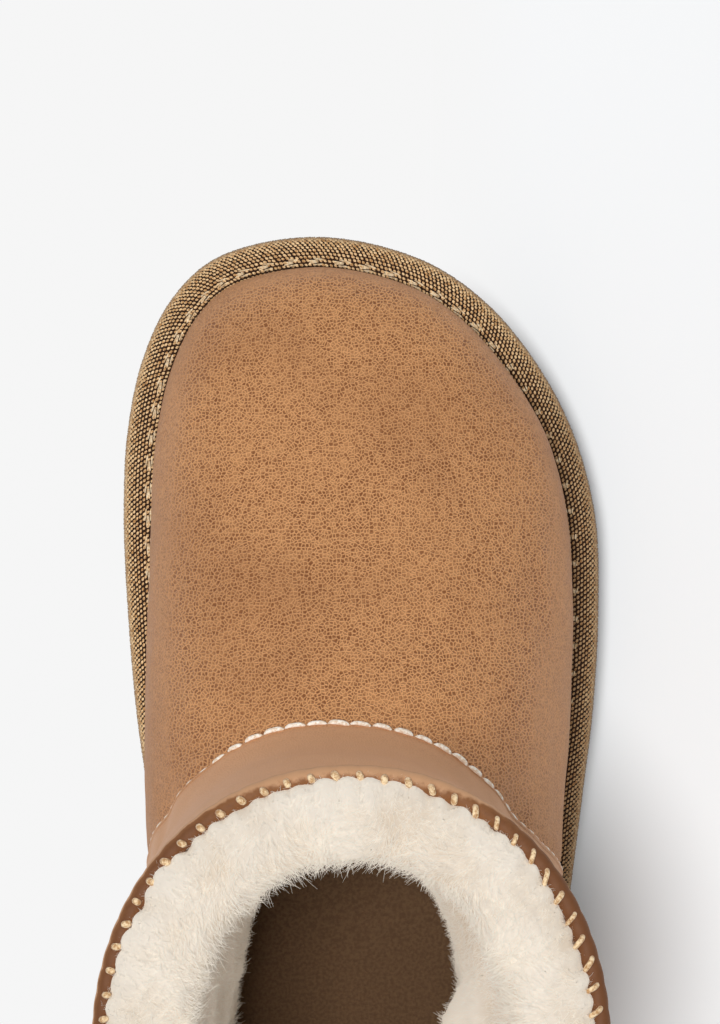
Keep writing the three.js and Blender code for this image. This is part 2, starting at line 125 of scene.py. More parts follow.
# Outline of the sole: shares of SOLE_LENGTH, of half of BALL_WIDTH and of RAND_WIDTH
OUTLINE = table(
    "along inner outer inner_body outer_body",
    (0.0, 0.03, 0.03, 0.7, 0.7),
    (0.02, -0.34, 0.39, 0.6, 0.65),
    (0.075, -0.58, 0.63, 0.4, 0.5),
    (0.17, -0.71, 0.77, 0.15, 0.4),
    (0.27, -0.765, 0.83, -0.1, 0.3),
    (0.38, -0.835, 0.895, -0.25, 0.35),
    (0.46, -0.895, 0.94, 0.0, 0.55),
    (0.54, -0.945, 0.983, 0.33, 0.72),
    (0.64, -0.982, 1.007, 0.65, 0.76),
    (0.73, -0.998, 0.992, 0.88, 0.74),
    (0.81, -0.982, 0.9, 1.03, 0.65),
    (0.88, -0.918, 0.738, 1.13, 0.72),
    (0.94, -0.792, 0.515, 1.3, 0.78),
    (0.98, -0.6, 0.24, 1.4, 0.82),
    (1.0, -0.19, -0.19, 0.98, 0.98),
)

# Crown of the foot: shares of SOLE_LENGTH and of INSTEP_HEIGHT
CROWN = table(
    "along crown",
    (0.0, 0.9),
    (0.12, 1.04),
    (0.3, 1.14),
    (0.45, 1.12),
    (0.55, 1.0),
    (0.63, 0.85),
    (0.72, 0.715),
    (0.81, 0.635),
    (0.9, 0.6),
    (1.0, 0.58),
)

# Sections of the shaft: rise is a share of SHAFT_HEIGHT, back and front of SOLE_LENGTH, width and lean
# of SHAFT_WIDTH
SHAFT = table(
    "rise back front width lean",
    (0.0, 0.05, 0.47, 0.74, 0.0),
    (0.18, 0.022, 0.49, 0.845, -0.006),
    (0.36, 0.03, 0.512, 0.88, -0.03),
    (0.54, 0.044, 0.527, 0.895, -0.047),
    (0.72, 0.05, 0.525, 0.925, -0.042),
    (0.88, 0.051, 0.523, 0.975, -0.028),
    (1.0, 0.051, 0.519, 1.0, -0.017),
)

# The vamp seam from the side: shares of SOLE_LENGTH and of INSTEP_HEIGHT
VAMP_SEAM = table(
    "along rise",
    (0.585, 1.1),
    (0.545, 1.04),
    (0.522, 1.005),
    (0.5, 0.955),
    (0.475, 0.88),
    (0.455, 0.8),
    (0.435, 0.68),
    (0.41, 0.47),
    (0.385, 0.22),
    (0.36, -0.12),
)

# Round side of the wrapped midsole: shares of MIDSOLE_THICKNESS and of RAND_WIDTH
RAND_SIDE = table(
    "rise inset",
    (0.0, 0.28),
    (0.16, 0.08),
    (0.42, 0.0),
    (0.68, 0.09),
    (0.87, 0.32),
    (0.97, 0.62),
    (1.0, 1.0),
    (1.0, 1.5),
)

# Side of the outsole above its lugs: shares of the height there and of RAND_WIDTH
OUTSOLE_SIDE = table(
    "rise inset",
    (0.0, 0.42),
    (0.06, 0.29),
    (0.14, 0.24),
    (0.44, 0.22),
    (0.48, 0.24),
    (0.52, 0.34),
    (0.56, 0.37),
    (0.66, 0.37),
    (0.7, 0.34),
    (0.74, 0.24),
    (0.78, 0.22),
    (0.96, 0.22),
    (1.0, 0.27),
)

# Soft folds of the shaft seen from the side. side is +1 outside and -1 inside, along is a share of
# SOLE_LENGTH, rise of SHAFT_HEIGHT, tilt in degrees from level, the rest in millimetres.
CREASES = table(
    "side along rise tilt length width depth",
    (1, 0.4, 0.5, -24, 30, 4.0, 0.7),
    (1, 0.32, 0.41, -12, 34, 5.0, 0.6),
    (-1, 0.41, 0.49, -22, 28, 4.0, 0.7),
    (-1, 0.31, 0.4, -9, 36, 5.0, 0.6),
    (1, 0.12, 0.44, 10, 26, 4.5, 0.7),
    (-1, 0.12, 0.46, 12, 26, 4.5, 0.7),
)

FOOT_SQUARENESS = 2.4
SHAFT_SQUARENESS = 2.1
FOOT_MIDDLE = 0.53 * SOLE_LENGTH
SHAFT_MIDDLE = 0.26 * SOLE_LENGTH
FOOT_SCALE = 34
SHAFT_SCALE = 33
CROWN_INSET = 1.15


def smooth(x, a, b):
    """0 before a, 1 after b, and an even curve between them."""
    t = np.clip((np.asarray(x, float) - a) / (b - a), 0, 1)
    return t * t * (3 - 2 * t)


def mix(a, b, t):
    return a + (b - a) * t


def unit(vectors):
    """The same directions, each with a length of 1."""
    return vectors / np.linalg.norm(vectors, axis=-1, keepdims=True)


def distances(points):
    """How far each point of a line is from its start."""
    return np.concatenate([[0], np.cumsum(np.linalg.norm(np.diff(points, axis=0), axis=1))])


def curve(b, c, leave, arrive, steps):
    """Places on a curve from b towards c with these slopes at its ends."""
    t = np.linspace(0, 1, steps, endpoint=False)[:, None]
    cubic = 2 * b - 2 * c + leave + arrive
    square = -3 * b + 3 * c - 2 * leave - arrive
    return b + leave * t + square * t**2 + cubic * t**3


def read_table(rows, x_name, y_name, x):
    """Smooth curve through the rows of a table."""
    xs = np.array([row[x_name] for row in rows], float)
    ys = np.array([row[y_name] for row in rows], float)
    before = np.maximum(np.arange(len(rows)) - 1, 0)
    after = np.minimum(np.arange(len(rows)) + 1, len(rows) - 1)
    slopes = (ys[after] - ys[before]) / (xs[after] - xs[before])
    x = np.clip(x, xs[0], xs[-1])
    i = np.clip(np.searchsorted(xs, x, side="right") - 1, 0, len(rows) - 2)
    span = xs[i + 1] - xs[i]
    t = (x - xs[i]) / span
    eased = t * t * (3 - 2 * t)
    leaving = slopes[i] * span * t * (1 - t) ** 2
    arriving = slopes[i + 1] * span * t * t * (1 - t)
    return mix(ys[i], ys[i + 1], eased) + leaving - arriving


# Heights of the sole at a place along it
def toe_lift(y):
    return TOE_SPRING * np.maximum(0, (y - TOE_SPRING_START) / (SOLE_LENGTH - TOE_SPRING_START)) ** 2


def tread_bottom(y):
    bevel = np.clip(1 - y / HEEL_BEVEL_LENGTH, 0, 1)
    arch = np.clip((y - ARCH_START) / (ARCH_END - ARCH_START), 0, 1)
    return HEEL_BEVEL * bevel**2 + ARCH_LIFT * np.sin(np.pi * arch) ** 2 + toe_lift(y)


def outsole_top(y):
    forward = smooth(y, 0.3 * SOLE_LENGTH, 0.65 * SOLE_LENGTH)
    return mix(OUTSOLE_HEEL, OUTSOLE_FOREFOOT, forward) + toe_lift(y)


def outsole_bottom(y):
    return tread_bottom(y) + LUG_DEPTH


def midsole_bottom(y):
    return outsole_top(y) + SEAM_GAP


def upper_base(y):
    return midsole_bottom(y) + MIDSOLE_THICKNESS + SEAM_GAP


def sole_outline(samples):
    """Even points on the sole's edge, their inward directions, the body's insets and the whole length."""
    half = BALL_WIDTH / 2
    outer = [(r["outer"] * half, r["along"] * SOLE_LENGTH, r["outer_body"] * RAND_WIDTH) for r in OUTLINE]
    inner = [(r["inner"] * half, r["along"] * SOLE_LENGTH, r["inner_body"] * RAND_WIDTH) for r in OUTLINE]
    stations = np.array(outer[::-1] + inner[1:-1])
    count = len(stations)
    dense = []
    for i in range(count):
        a, b, c, d = (stations[(i + k) % count] for k in (-1, 0, 1, 2))
        ab, bc, cd = (math.sqrt(np.linalg.norm(q - p)) for p, q in ((a, b), (b, c), (c, d)))
        leave = ((b - a) / ab - (c - a) / (ab + bc) + (c - b) / bc) * bc
        arrive = ((c - b) / bc - (d - b) / (bc + cd) + (d - c) / cd) * bc
        dense.append(curve(b, c, leave, arrive, 60))
    dense = np.concatenate(dense)
    dense = np.concatenate([dense, dense[:1]])
    walked = distances(dense[:, :2])
    even = np.linspace(0, walked[-1], samples, endpoint=False)
    points = np.stack([np.interp(even, walked, dense[:, k]) for k in range(3)], 1)
    along = unit(np.roll(points, -1, 0)[:, :2] - np.roll(points, 1, 0)[:, :2])
    inwards = np.stack([along[:, 1], -along[:, 0]], 1)
    return points[:, :2], inwards, points[:, 2], walked[-1]


EDGE_SAMPLES = 720
edge_points, edge_inwards, edge_body, edge_length = sole_outline(EDGE_SAMPLES)


def reach_of(inset):
    """The sole's edge moved inwards, read as a distance from the foot's middle in a direction."""
    moved = edge_points + edge_inwards * np.reshape(inset, (-1, 1)) - [0, FOOT_MIDDLE]
    angle = np.arctan2(moved[:, 0], moved[:, 1])
    order = np.argsort(angle)
    reach = np.hypot(moved[:, 0], moved[:, 1])[order]
    return lambda a: np.interp(a, angle[order], reach, period=2 * np.pi)


feather_reach = reach_of(np.full(EDGE_SAMPLES, RAND_WIDTH))
body_reach = reach_of(edge_body)


def lean_at(h):
    return read_table(SHAFT, "rise", "lean", h / SHAFT_HEIGHT) * SHAFT_WIDTH


def rounded(a, b, squareness):
    """1 on the edge of an oval whose squareness is 2 for an ellipse and more for a fuller one."""
    return (a**squareness + b**squareness) ** (1 / squareness)


def foot_form(x, y, h, inset):
    """Below 0 inside the form of the foot, made smaller all round by inset. h counts from the midsole."""
    across = x - lean_at(h)
    angle = np.arctan2(across, y - FOOT_MIDDLE)
    bulge = smooth(h, -0.2 * BULGE_HEIGHT, BULGE_HEIGHT)
    reach = mix(feather_reach(angle), body_reach(angle), bulge) - inset
    crown = read_table(CROWN, "along", "crown", y / SOLE_LENGTH) * INSTEP_HEIGHT - CROWN_INSET * inset
    share = np.hypot(across, y - FOOT_MIDDLE) / reach
    rise = np.maximum(0, h / crown)
    return (rounded(share, rise, FOOT_SQUARENESS) - 1) * FOOT_SCALE


def shaft_form(x, y, h, inset):
    """The same for the leg."""
    rise = h / SHAFT_HEIGHT
    back = read_table(SHAFT, "rise", "back", rise) * SOLE_LENGTH
    front = read_table(SHAFT, "rise", "front", rise) * SOLE_LENGTH
    half_width = read_table(SHAFT, "rise", "width", rise) * SHAFT_WIDTH / 2
    across = np.abs(x - lean_at(h)) / (half_width - inset)
    along = np.abs(y - (back + front) / 2) / ((front - back) / 2 - inset)
    return (rounded(across, along, SHAFT_SQUARENESS) - 1) * SHAFT_SCALE


def boot_form(x, y, h, inset):
    """Foot and leg in one, with a soft bend where they meet."""
    foot = foot_form(x, y, h, inset)
    shaft = shaft_form(x, y, h, inset)
    mixed = np.maximum(0, BLEND - np.abs(foot - shaft)) / BLEND
    return np.minimum(foot, shaft) - mixed * mixed * BLEND / 4


HALVINGS = 24


def run_inside(h, inset, x0, y0, dx, dy, limit):
    """How far lines from points inside the boot run before they leave it."""
    near = np.zeros(np.broadcast(h, inset, x0, y0, dx, dy).shape)
    far = near + limit
    for _ in range(HALVINGS):
        middle = (near + far) / 2
        inside = boot_form(x0 + dx * middle, y0 + dy * middle, h, inset) < 0
        near = np.where(inside, middle, near)
        far = np.where(inside, far, middle)
    return near


def front_at(h, inset=0.0):
    return SHAFT_MIDDLE + run_inside(h, inset, 0.0, SHAFT_MIDDLE, 0.0, 1.0, SOLE_LENGTH)


def back_at(h, inset=0.0):
    return SHAFT_MIDDLE - run_inside(h, inset, 0.0, SHAFT_MIDDLE, 0.0, -1.0, SOLE_LENGTH)


def rays(h, angle):
    """The middle of the boot at a height, and steps from there out to these directions."""
    front = front_at(h)
    back = back_at(h)
    return (front + back) / 2, np.sin(angle) * BALL_WIDTH / 2, np.cos(angle) * (front - back) / 2


def level_rings(heights, insets, columns):
    """Rings of the boot at these heights, as an array of levels by columns by x, y and h."""
    h = np.asarray(heights, float).reshape(-1, 1)
    inset = np.asarray(insets, float)
    inset = inset.reshape(-1, 1) if inset.ndim == 1 else inset
    centre, dx, dy = rays(h, np.linspace(0, 2 * np.pi, columns, endpoint=False)[None, :])
    run = run_inside(h, inset, 0.0, centre, dx, dy, 2.0)
    y = centre + dy * run
    return np.stack([dx * run, y, np.broadcast_to(h, y.shape)], 2)


def top_ring(inset, columns):
    """A ring of the boot at the height of the collar."""
    return level_rings([SHAFT_HEIGHT], inset[None, :], columns)[0]


def on_base(rings):
    """Turns heights above the midsole into heights above the floor."""
    out = rings.copy()
    out[..., 2] += upper_base(out[..., 1])
    return out


def level_heights(count, low, high, inset=0.0):
    heights = np.linspace(low, high, 400)
    front = front_at(heights, inset)
    walked = np.concatenate([[0], np.cumsum(np.hypot(np.diff(heights), np.diff(front)))])
    return np.interp(np.linspace(0, walked[-1], count), walked, heights)


def ring_normals(grid):
    """Outward directions of a closed grid of rings."""
    around = np.roll(grid, -1, 1) - np.roll(grid, 1, 1)
    up = np.gradient(grid, axis=0)
    normal = np.cross(up, around)
    return normal / np.maximum(np.linalg.norm(normal, axis=2, keepdims=True), 1e-9)


def grid_faces(levels, columns, closed=True):
    k, i = np.meshgrid(np.arange(levels - 1), np.arange(columns if closed else columns - 1), indexing="ij")
    j = (i + 1) % columns
    faces = np.stack([k * columns + i, (k + 1) * columns + i, (k + 1) * columns + j, k * columns + j], 2)
    return faces.reshape(-1, 4)


def triangles_of(quads):
    return np.concatenate([quads[:, [0, 1, 2]], quads[:, [0, 2, 3]]])


def lumps(points, size, seed=0.0):
    """Soft noise from -1 to 1 at points, with lumps of about that size."""
    flat = points.reshape(-1, 3) / size + seed
    values = np.array([noise.noise(Vector(p)) for p in flat])
    return values.reshape(points.shape[:-1])


def many_lumps(points, rows):
    return sum(row["height"] * lumps(points, row["size"], row["seed"]) for row in rows)


# Making pieces
def add_object(name, data):
    made = bpy.data.objects.new(name, data)
    bpy.context.scene.collection.objects.link(made)
    return made


def add_piece(name, points, faces, material, node=None, slot=None):
    """A mesh of the boot from millimetre points, riding on the frame."""
    mesh = bpy.data.meshes.new(name)
    verts = (np.asarray(points, float).reshape(-1, 3) - [0, HEEL_ORIGIN, 0]) * MM
    faces = np.asarray(faces)
    mesh.vertices.add(len(verts))
    mesh.vertices.foreach_set("co", verts.astype(np.float32).ravel())
    mesh.loops.add(faces.size)
    mesh.loops.foreach_set("vertex_index", faces.astype(np.int32).ravel())
    mesh.polygons.add(len(faces))
    mesh.polygons.foreach_set("loop_start", np.arange(0, faces.size, faces.shape[1], dtype=np.int32))
    mesh.update(calc_edges=True)
    mesh.validate()
    mesh.polygons.foreach_set("use_smooth", np.full(len(mesh.polygons), True))
    mesh.materials.append(material)
    piece = add_object(name, mesh)
    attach(piece, "root")
    if node:
        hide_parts(node)
    return piece


def add_rings(name, rings, *looks):
    """A piece from closed rings, one above the other."""
    return add_piece(name, rings, grid_faces(*rings.shape[:2]), *looks)


def paint(piece, name, values):
    """Stores one number for each vertex for the piece's material."""
    layer = piece.data.attributes.new(name, "FLOAT", "POINT")
    layer.data.foreach_set("value", np.asarray(values, np.float32).ravel())


def join_parts(parts):
    """One list of points and faces from several."""
    points, faces, start = [], [], 0
    for part_points, part_faces in parts:
        points.append(part_points)
        faces.append(np.asarray(part_faces) + start)
        start += len(part_points)
    return np.concatenate(points), np.concatenate(faces)


# A direction that no thread runs along
THREAD_HINT = (0.31, 0.17, 0.94)


def thread(path, radius, sides=8, taper=0.35):
    """A round thread along a path, with drawn-in ends."""
    path = np.asarray(path, float)
    along = unit(np.gradient(path, axis=0))
    side = unit(np.cross(along, THREAD_HINT))
    other = np.cross(along, side)
    t = np.linspace(0, 1, len(path))
    size = radius * np.maximum(taper, np.sqrt(np.clip(1 - np.abs(2 * t - 1) ** 4, 0, 1)))
    angle = np.linspace(0, 2 * np.pi, sides, endpoint=False)
    circle = np.cos(angle)[None, :, None] * side[:, None] + np.sin(angle)[None, :, None] * other[:, None]
    points = path[:, None] + circle * size[:, None, None]
    return points.reshape(-1, 3), grid_faces(len(path), sides)


# Materials
def set_inputs(node, **inputs):
    for name, value in inputs.items():
        node.inputs[name.replace("_", " ")].default_value = value


def new_material(name, roughness=0.6):
    material = bpy.data.materials.new(name)
    material.use_nodes = True
    shader = material.node_tree.nodes["Principled BSDF"]
    set_inputs(shader, Roughness=roughness, Specular_IOR_Level=0.3)
    return material, material.node_tree, shader


def link(tree, a, b):
    tree.links.new(a, b)


def add_node(tree, kind, **inputs):
    node = tree.nodes.new(kind)
    set_inputs(node, **inputs)
    return node


def stored(tree, name):
    """A number that paint stores on a piece."""
    node = tree.nodes.new("ShaderNodeAttribute")
    node.attribute_name = name
    return node.outputs["Fac"]


def blend_shaders(tree, factor, a, b):
    """Makes the surface of a material from two shaders."""
    both = tree.nodes.new("ShaderNodeMixShader")
    if isinstance(factor, float):
        both.inputs[0].default_value = factor
    else:
        link(tree, factor, both.inputs[0])
    link(tree, a.outputs[0], both.inputs[1])
    link(tree, b.outputs[0], both.inputs[2])
    link(tree, both.outputs[0], tree.nodes["Material Output"].inputs["Surface"])


def math_node(tree, operation, a, b=0.5, c=None):
    node = tree.nodes.new("ShaderNodeMath")
    node.operation = operation
    for k, value in enumerate((a, b) if c is None else (a, b, c)):
        if isinstance(value, (int, float)):
            node.inputs[k].default_value = value
        else:
            link(tree, value, node.inputs[k])
    return node.outputs[0]


def ramp(tree, value, low, high, to_low=0.0, to_high=1.0):
    node = tree.nodes.new("ShaderNodeMapRange")
    node.interpolation_type = "SMOOTHSTEP"
    link(tree, value, node.inputs["Value"])
    set_inputs(node, From_Min=low, From_Max=high, To_Min=to_low, To_Max=to_high)
    return node.outputs["Result"]


def blend_colour(tree, factor, a, b):
    node = tree.nodes.new("ShaderNodeMix")
    node.data_type = "RGBA"
    for socket, value in ((node.inputs["Factor"], factor), (node.inputs["A"], a), (node.inputs["B"], b)):
        if isinstance(value, (int, float)):
            socket.default_value = value
        elif isinstance(value, tuple):
            socket.default_value = (*value, 1)
        else:
            link(tree, value, socket)
    return node.outputs["Result"]


def add_bump(tree, shader, height, strength, distance):
    bump = add_node(tree, "ShaderNodeBump", Strength=strength, Distance=distance * MM)
    link(tree, height, bump.inputs["Height"])
    link(tree, bump.outputs["Normal"], shader.inputs["Normal"])


def object_coordinates(tree):
    return tree.nodes.new("ShaderNodeTexCoord").outputs["Object"]


def noise_node(tree, coordinates, size, detail=2.0, roughness=0.5):
    """Noise with lumps of about that size in millimetres."""
    node = add_node(tree, "ShaderNodeTexNoise", Scale=1 / (size * MM), Detail=detail, Roughness=roughness)
    link(tree, coordinates, node.inputs["Vector"])
    return node


def linear(*screen_colour):
    """A screen colour from 0 to 255 as scene light."""
    shares = [value / 255 for value in screen_colour]
    return tuple(v / 12.92 if v <= 0.04045 else ((v + 0.055) / 1.055) ** 2.4 for v in shares)


# How far the net of the grain is bent, in cells, and the sizes of the leather's other patterns
GRAIN_BENDS = ((1.5, 0.42), (0.55, 0.34))
MOTTLE_CELLS = 1.8
PATCH_SIZE = 12
BURNISH_SIZE = 26
FINE_GRAIN = 0.25


def leather_material(name, ridge, dimple, side_light_tone, cell, depth, contrast, sheen):
    """Embossed leather: a light net of ridges round darker dimples. Towards the sides the grain is calmer
    and the colour is drawn to a side tone: painted light and sheen where the boot turns away from the
    overhead lamp.
    """
    material, tree, shader = new_material(name, 0.62)
    where = object_coordinates(tree)
    place = where
    for size, reach in GRAIN_BENDS:
        bend = noise_node(tree, where, cell * size, 2.0)
        offset = tree.nodes.new("ShaderNodeVectorMath")
        offset.operation = "MULTIPLY_ADD"
        link(tree, bend.outputs["Color"], offset.inputs[0])
        offset.inputs[1].default_value = (cell * MM * reach,) * 3
        link(tree, place, offset.inputs[2])
        place = offset.outputs[0]
    facing = tree.nodes.new("ShaderNodeSeparateXYZ")
    link(tree, tree.nodes.new("ShaderNodeNewGeometry").outputs["Normal"], facing.inputs[0])
    nets = []
    for dimensions in ("3D", "2D"):
        cells = add_node(tree, "ShaderNodeTexVoronoi", Scale=1 / (cell * MM), Randomness=1.0)
        cells.voronoi_dimensions = dimensions
        cells.feature = "DISTANCE_TO_EDGE"
        link(tree, place, cells.inputs["Vector"])
        nets.append(ramp(tree, cells.outputs["Distance"], 0.0, 0.28))
    level = ramp(tree, facing.outputs["Z"], 0.35, 0.5)
    difference = math_node(tree, "SUBTRACT", nets[1], nets[0])
    inside = math_node(tree, "MULTIPLY_ADD", difference, level, nets[0])
    mottle = noise_node(tree, where, cell * MOTTLE_CELLS, 2.0)
    strength = ramp(tree, mottle.outputs["Fac"], 0.34, 0.64, 0.5, 1.0)
    patches = noise_node(tree, where, PATCH_SIZE, 3.0)
    patch = ramp(tree, patches.outputs["Fac"], 0.34, 0.6, 0.88, 1.0)
    # Painted light and sheen: towards the sides, where they turn from the lamp, the grain is calmed and
    # the colour drawn to the side tone
    upward = ramp(tree, facing.outputs["Z"], 0.05, 0.7)
    calm = ramp(tree, upward, 0.0, 1.0, 0.75, 1.0)
    dark = inside
    for share in (strength, patch, calm, contrast):
        dark = math_node(tree, "MULTIPLY", dark, share)
    colour = blend_colour(tree, dark, ridge, dimple)
    burnish = noise_node(tree, where, BURNISH_SIZE, 2.0)
    colour = blend_colour(tree, ramp(tree, burnish.outputs["Fac"], 0.4, 0.72, 0.0, 0.24), colour, dimple)
    side_light_share = math_node(tree, "SUBTRACT", 1.0, upward)
    colour = blend_colour(tree, math_node(tree, "MULTIPLY", side_light_share, 0.62), colour, side_light_tone)
    link(tree, colour, shader.inputs["Base Color"])
    fine = noise_node(tree, where, FINE_GRAIN, 2.0)
    height = math_node(tree, "MULTIPLY", inside, -1.0)
    height = math_node(tree, "MULTIPLY_ADD", fine.outputs["Fac"], 0.25, height)
    add_bump(tree, shader, height, 0.6, depth)
    set_inputs(shader, Sheen_Weight=sheen, Sheen_Roughness=0.4)
    return material


def thread_material(name, light, dark, shaded=None):
    """Spun yarn. Where a piece stores a share of painted shade, the shaded colour comes in."""
    material, tree, shader = new_material(name, 0.7)
    where = object_coordinates(tree)
    strands = noise_node(tree, where, 0.5, 3.0, 0.6)
    colour = blend_colour(tree, ramp(tree, strands.outputs["Fac"], 0.35, 0.65), dark, light)
    if shaded:
        colour = blend_colour(tree, stored(tree, "shade"), colour, shaded)
    link(tree, colour, shader.inputs["Base Color"])
    add_bump(tree, shader, strands.outputs["Fac"], 0.5, 0.15)
    set_inputs(shader, Sheen_Weight=0.2)
    return material


def fleece_material(name, root, tip, glow, painted_pile_light):
    """Pale wool, painted darker and warmer where the stored depth is low: painted shade in the pile's
    hollows and towards the fibre roots. Its emission is painted light, scaled by the stored lit share, so
    that the pile glows brighter higher up in the boot.
    """
    material, tree, shader = new_material(name, 0.9)
    where = object_coordinates(tree)
    curls = noise_node(tree, where, 3.5, 3.0, 0.6)
    shade = math_node(tree, "MULTIPLY_ADD", curls.outputs["Fac"], 0.5, stored(tree, "depth"))
    colour = blend_colour(tree, ramp(tree, shade, 0.2, 1.0), root, tip)
    link(tree, colour, shader.inputs["Base Color"])
    set_inputs(shader, Specular_IOR_Level=0.1, Sheen_Weight=0.3, Sheen_Roughness=0.6)
    through = tree.nodes.new("ShaderNodeBsdfTranslucent")
    link(tree, colour, through.inputs["Color"])
    blend_shaders(tree, glow, shader, through)
    link(tree, colour, shader.inputs["Emission Color"])
    # Painted light: the pile glows by the stored lit share
    inner = math_node(tree, "MULTIPLY", stored(tree, "lit"), painted_pile_light)
    link(tree, inner, shader.inputs["Emission Strength"])
    return material


def plain_material(name, colour, spots, size, roughness, bump, distance):
    material, tree, shader = new_material(name, roughness)
    where = object_coordinates(tree)
    grain = noise_node(tree, where, size, 4.0, 0.6)
    colours = blend_colour(tree, ramp(tree, grain.outputs["Fac"], 0.35, 0.65), colour, spots)
    link(tree, colours, shader.inputs["Base Color"])
    add_bump(tree, shader, grain.outputs["Fac"], bump, distance)
    return material


def collar_material():
    """Smooth leather outside, turning into a raw dark edge at the top of the collar."""
    material, tree, shader = new_material("collar leather", 0.65)
    where = object_coordinates(tree)
    streaks = noise_node(tree, where, 0.9, 3.0, 0.6)
    edge = math_node(tree, "MULTIPLY_ADD", streaks.outputs["Fac"], 0.5, stored(tree, "raw"))
    colour = blend_colour(tree, ramp(tree, edge, 0.5, 0.8), linear(196, 150, 112), linear(132, 86, 50))
    colour = blend_colour(tree, ramp(tree, edge, 0.8, 1.3), colour, linear(112, 70, 40))
    link(tree, colour, shader.inputs["Base Color"])
    add_bump(tree, shader, streaks.outputs["Fac"], 0.5, 0.2)
    return material


grained = leather_material(
    "grained leather",
    ridge=linear(226, 165, 110),
    dimple=linear(124, 71, 34),
    side_light_tone=linear(181, 124, 77),
    cell=0.56,
    depth=0.22,
    contrast=0.95,
    sheen=0.05,
)
smooth_leather = leather_material(
    "smooth leather",
    ridge=linear(200, 146, 104),
    dimple=linear(150, 100, 62),
    side_light_tone=linear(226, 172, 128),
    cell=0.5,
    depth=0.06,
    contrast=0.5,
    sheen=0.04,
)
dark_leather = collar_material()
cream_thread = thread_material("cream thread", linear(255, 250, 240), linear(228, 204, 176))
gold_thread = thread_material("gold thread", linear(250, 224, 182), linear(186, 140, 92))
pale_gold = thread_material("pale gold yarn", linear(252, 236, 204), linear(208, 176, 130))
weave_dark = plain_material("tape ground", linear(32, 17, 6), linear(56, 33, 14), 0.5, 0.9, 0.4, 0.1)
weave_light = thread_material(
    "tape yarn", linear(252, 218, 168), linear(186, 138, 84), shaded=linear(108, 74, 42)
)
pile_base = fleece_material("pile ground", linear(228, 212, 190), linear(250, 242, 229), 0.3, 0.08)
pile_fibre = fleece_material("pile fibre", linear(242, 231, 213), linear(255, 250, 241), 0.5, 0.1)
felt = plain_material("brown felt", linear(86, 62, 42), linear(100, 75, 52), 0.55, 1.0, 0.6, 0.3)
rubber = plain_material("brown rubber", linear(60, 45, 33), linear(66, 50, 37), 1.2, 0.75, 0.3, 0.08)

# Upper
UPPER_COLUMNS = 250
UPPER_LEVELS = 160
UPPER_TOP = SHAFT_HEIGHT - BINDING_HEIGHT
VAMP_LAP = 0.8
SEAM_TUCK = 0.45
SEAM_TUCK_REACH = 1.6
HEM_RADIUS = 0.5
HEM_SINK = 0.35
UPPER_LUMPS = table(
    "height size seed",
    (0.35, 16, 0.0),
    (0.12, 5, 9.0),
)
FOLD_BOW = 0.02
FOLD_SIDE = (0.1, 0.5)
CREST_SHARE = 0.45
CREST_AWAY = 1.6
CALM_OVER_SOLE = 12
CALM_UNDER_COLLAR = 8
PROBE = 0.05


def seam_course():
    """The vamp seam from the side, as dense y and z points from the instep down."""
    y = np.array([row["along"] for row in VAMP_SEAM]) * SOLE_LENGTH
    z = upper_base(y) + np.array([row["rise"] for row in VAMP_SEAM]) * INSTEP_HEIGHT
    points = np.stack([y, z], 1)
    ends = np.concatenate([[2 * points[0] - points[1]], points, [2 * points[-1] - points[-2]]])
    dense = []
    for i in range(len(points) - 1):
        a, b, c, d = ends[i : i + 4]
        dense.append(curve(b, c, (c - a) / 2, (d - b) / 2, 8))
    return np.concatenate([*dense, points[-1:]])


course = seam_course()


def ahead_of_seam(points):
    """Signed distance from the seam seen from the side: above 0 on the vamp."""
    flat = points.reshape(-1, 3)[:, 1:]
    start, step = course[:-1], np.diff(course, axis=0)
    best = np.full(len(flat), np.inf)
    sign = np.ones(len(flat))
    for a, s in zip(start, step):
        t = np.clip(((flat - a) @ s) / (s @ s), 0, 1)
        away = flat - (a + t[:, None] * s)
        distance = np.linalg.norm(away, axis=1)
        closer = distance < best
        best = np.where(closer, distance, best)
        cross = s[0] * away[:, 1] - s[1] * away[:, 0]
        sign = np.where(closer, np.where(cross > 0, 1, -1), sign)
    return (best * sign).reshape(points.shape[:-1])


def cut_by(points, faces, field):
    """The triangles of a grid of quads where field is above 0, and the pairs of points on the cut."""
    triangles = triangles_of(faces)
    keep = field > 0
    kept = keep[triangles].sum(1)
    whole = triangles[kept == 3]
    points = list(points)
    made = {}

    def on_edge(a, b):
        key = (min(a, b), max(a, b))
        if key not in made:
            t = field[a] / (field[a] - field[b])
            made[key] = len(points)
            points.append(points[a] + (points[b] - points[a]) * t)
        return made[key]

    extra, cut = [], []
    for tri in triangles[(kept == 1) | (kept == 2)]:
        while not (keep[tri[0]] and not keep[tri[2]]):
            tri = np.roll(tri, 1)
        a, b, c = (int(v) for v in tri)
        if keep[b]:
            p, q = on_edge(b, c), on_edge(c, a)
            extra += [(a, b, p), (a, p, q)]
        else:
            p, q = on_edge(a, b), on_edge(c, a)
            extra += [(a, p, q)]
        cut.append((p, q))
    return np.array(points), np.concatenate([whole, np.array(extra)]), cut


def chain(pairs):
    """The longest open line through pairs of neighbouring points."""
    near = {}
    for a, b in pairs:
        near.setdefault(a, []).append(b)
        near.setdefault(b, []).append(a)
    lines = []
    left = set(near)
    while left:
        ends = [p for p in left if len(near[p]) == 1]
        here = min(ends) if ends else min(left)
        line = []
        while here is not None:
            line.append(here)
            left.discard(here)
            here = next((p for p in near[here] if p in left), None)
        lines.append(line)
    return max(lines, key=len)


def without_unused(points, faces):
    used, renumbered = np.unique(faces, return_inverse=True)
    return points[used], renumbered.reshape(faces.shape)


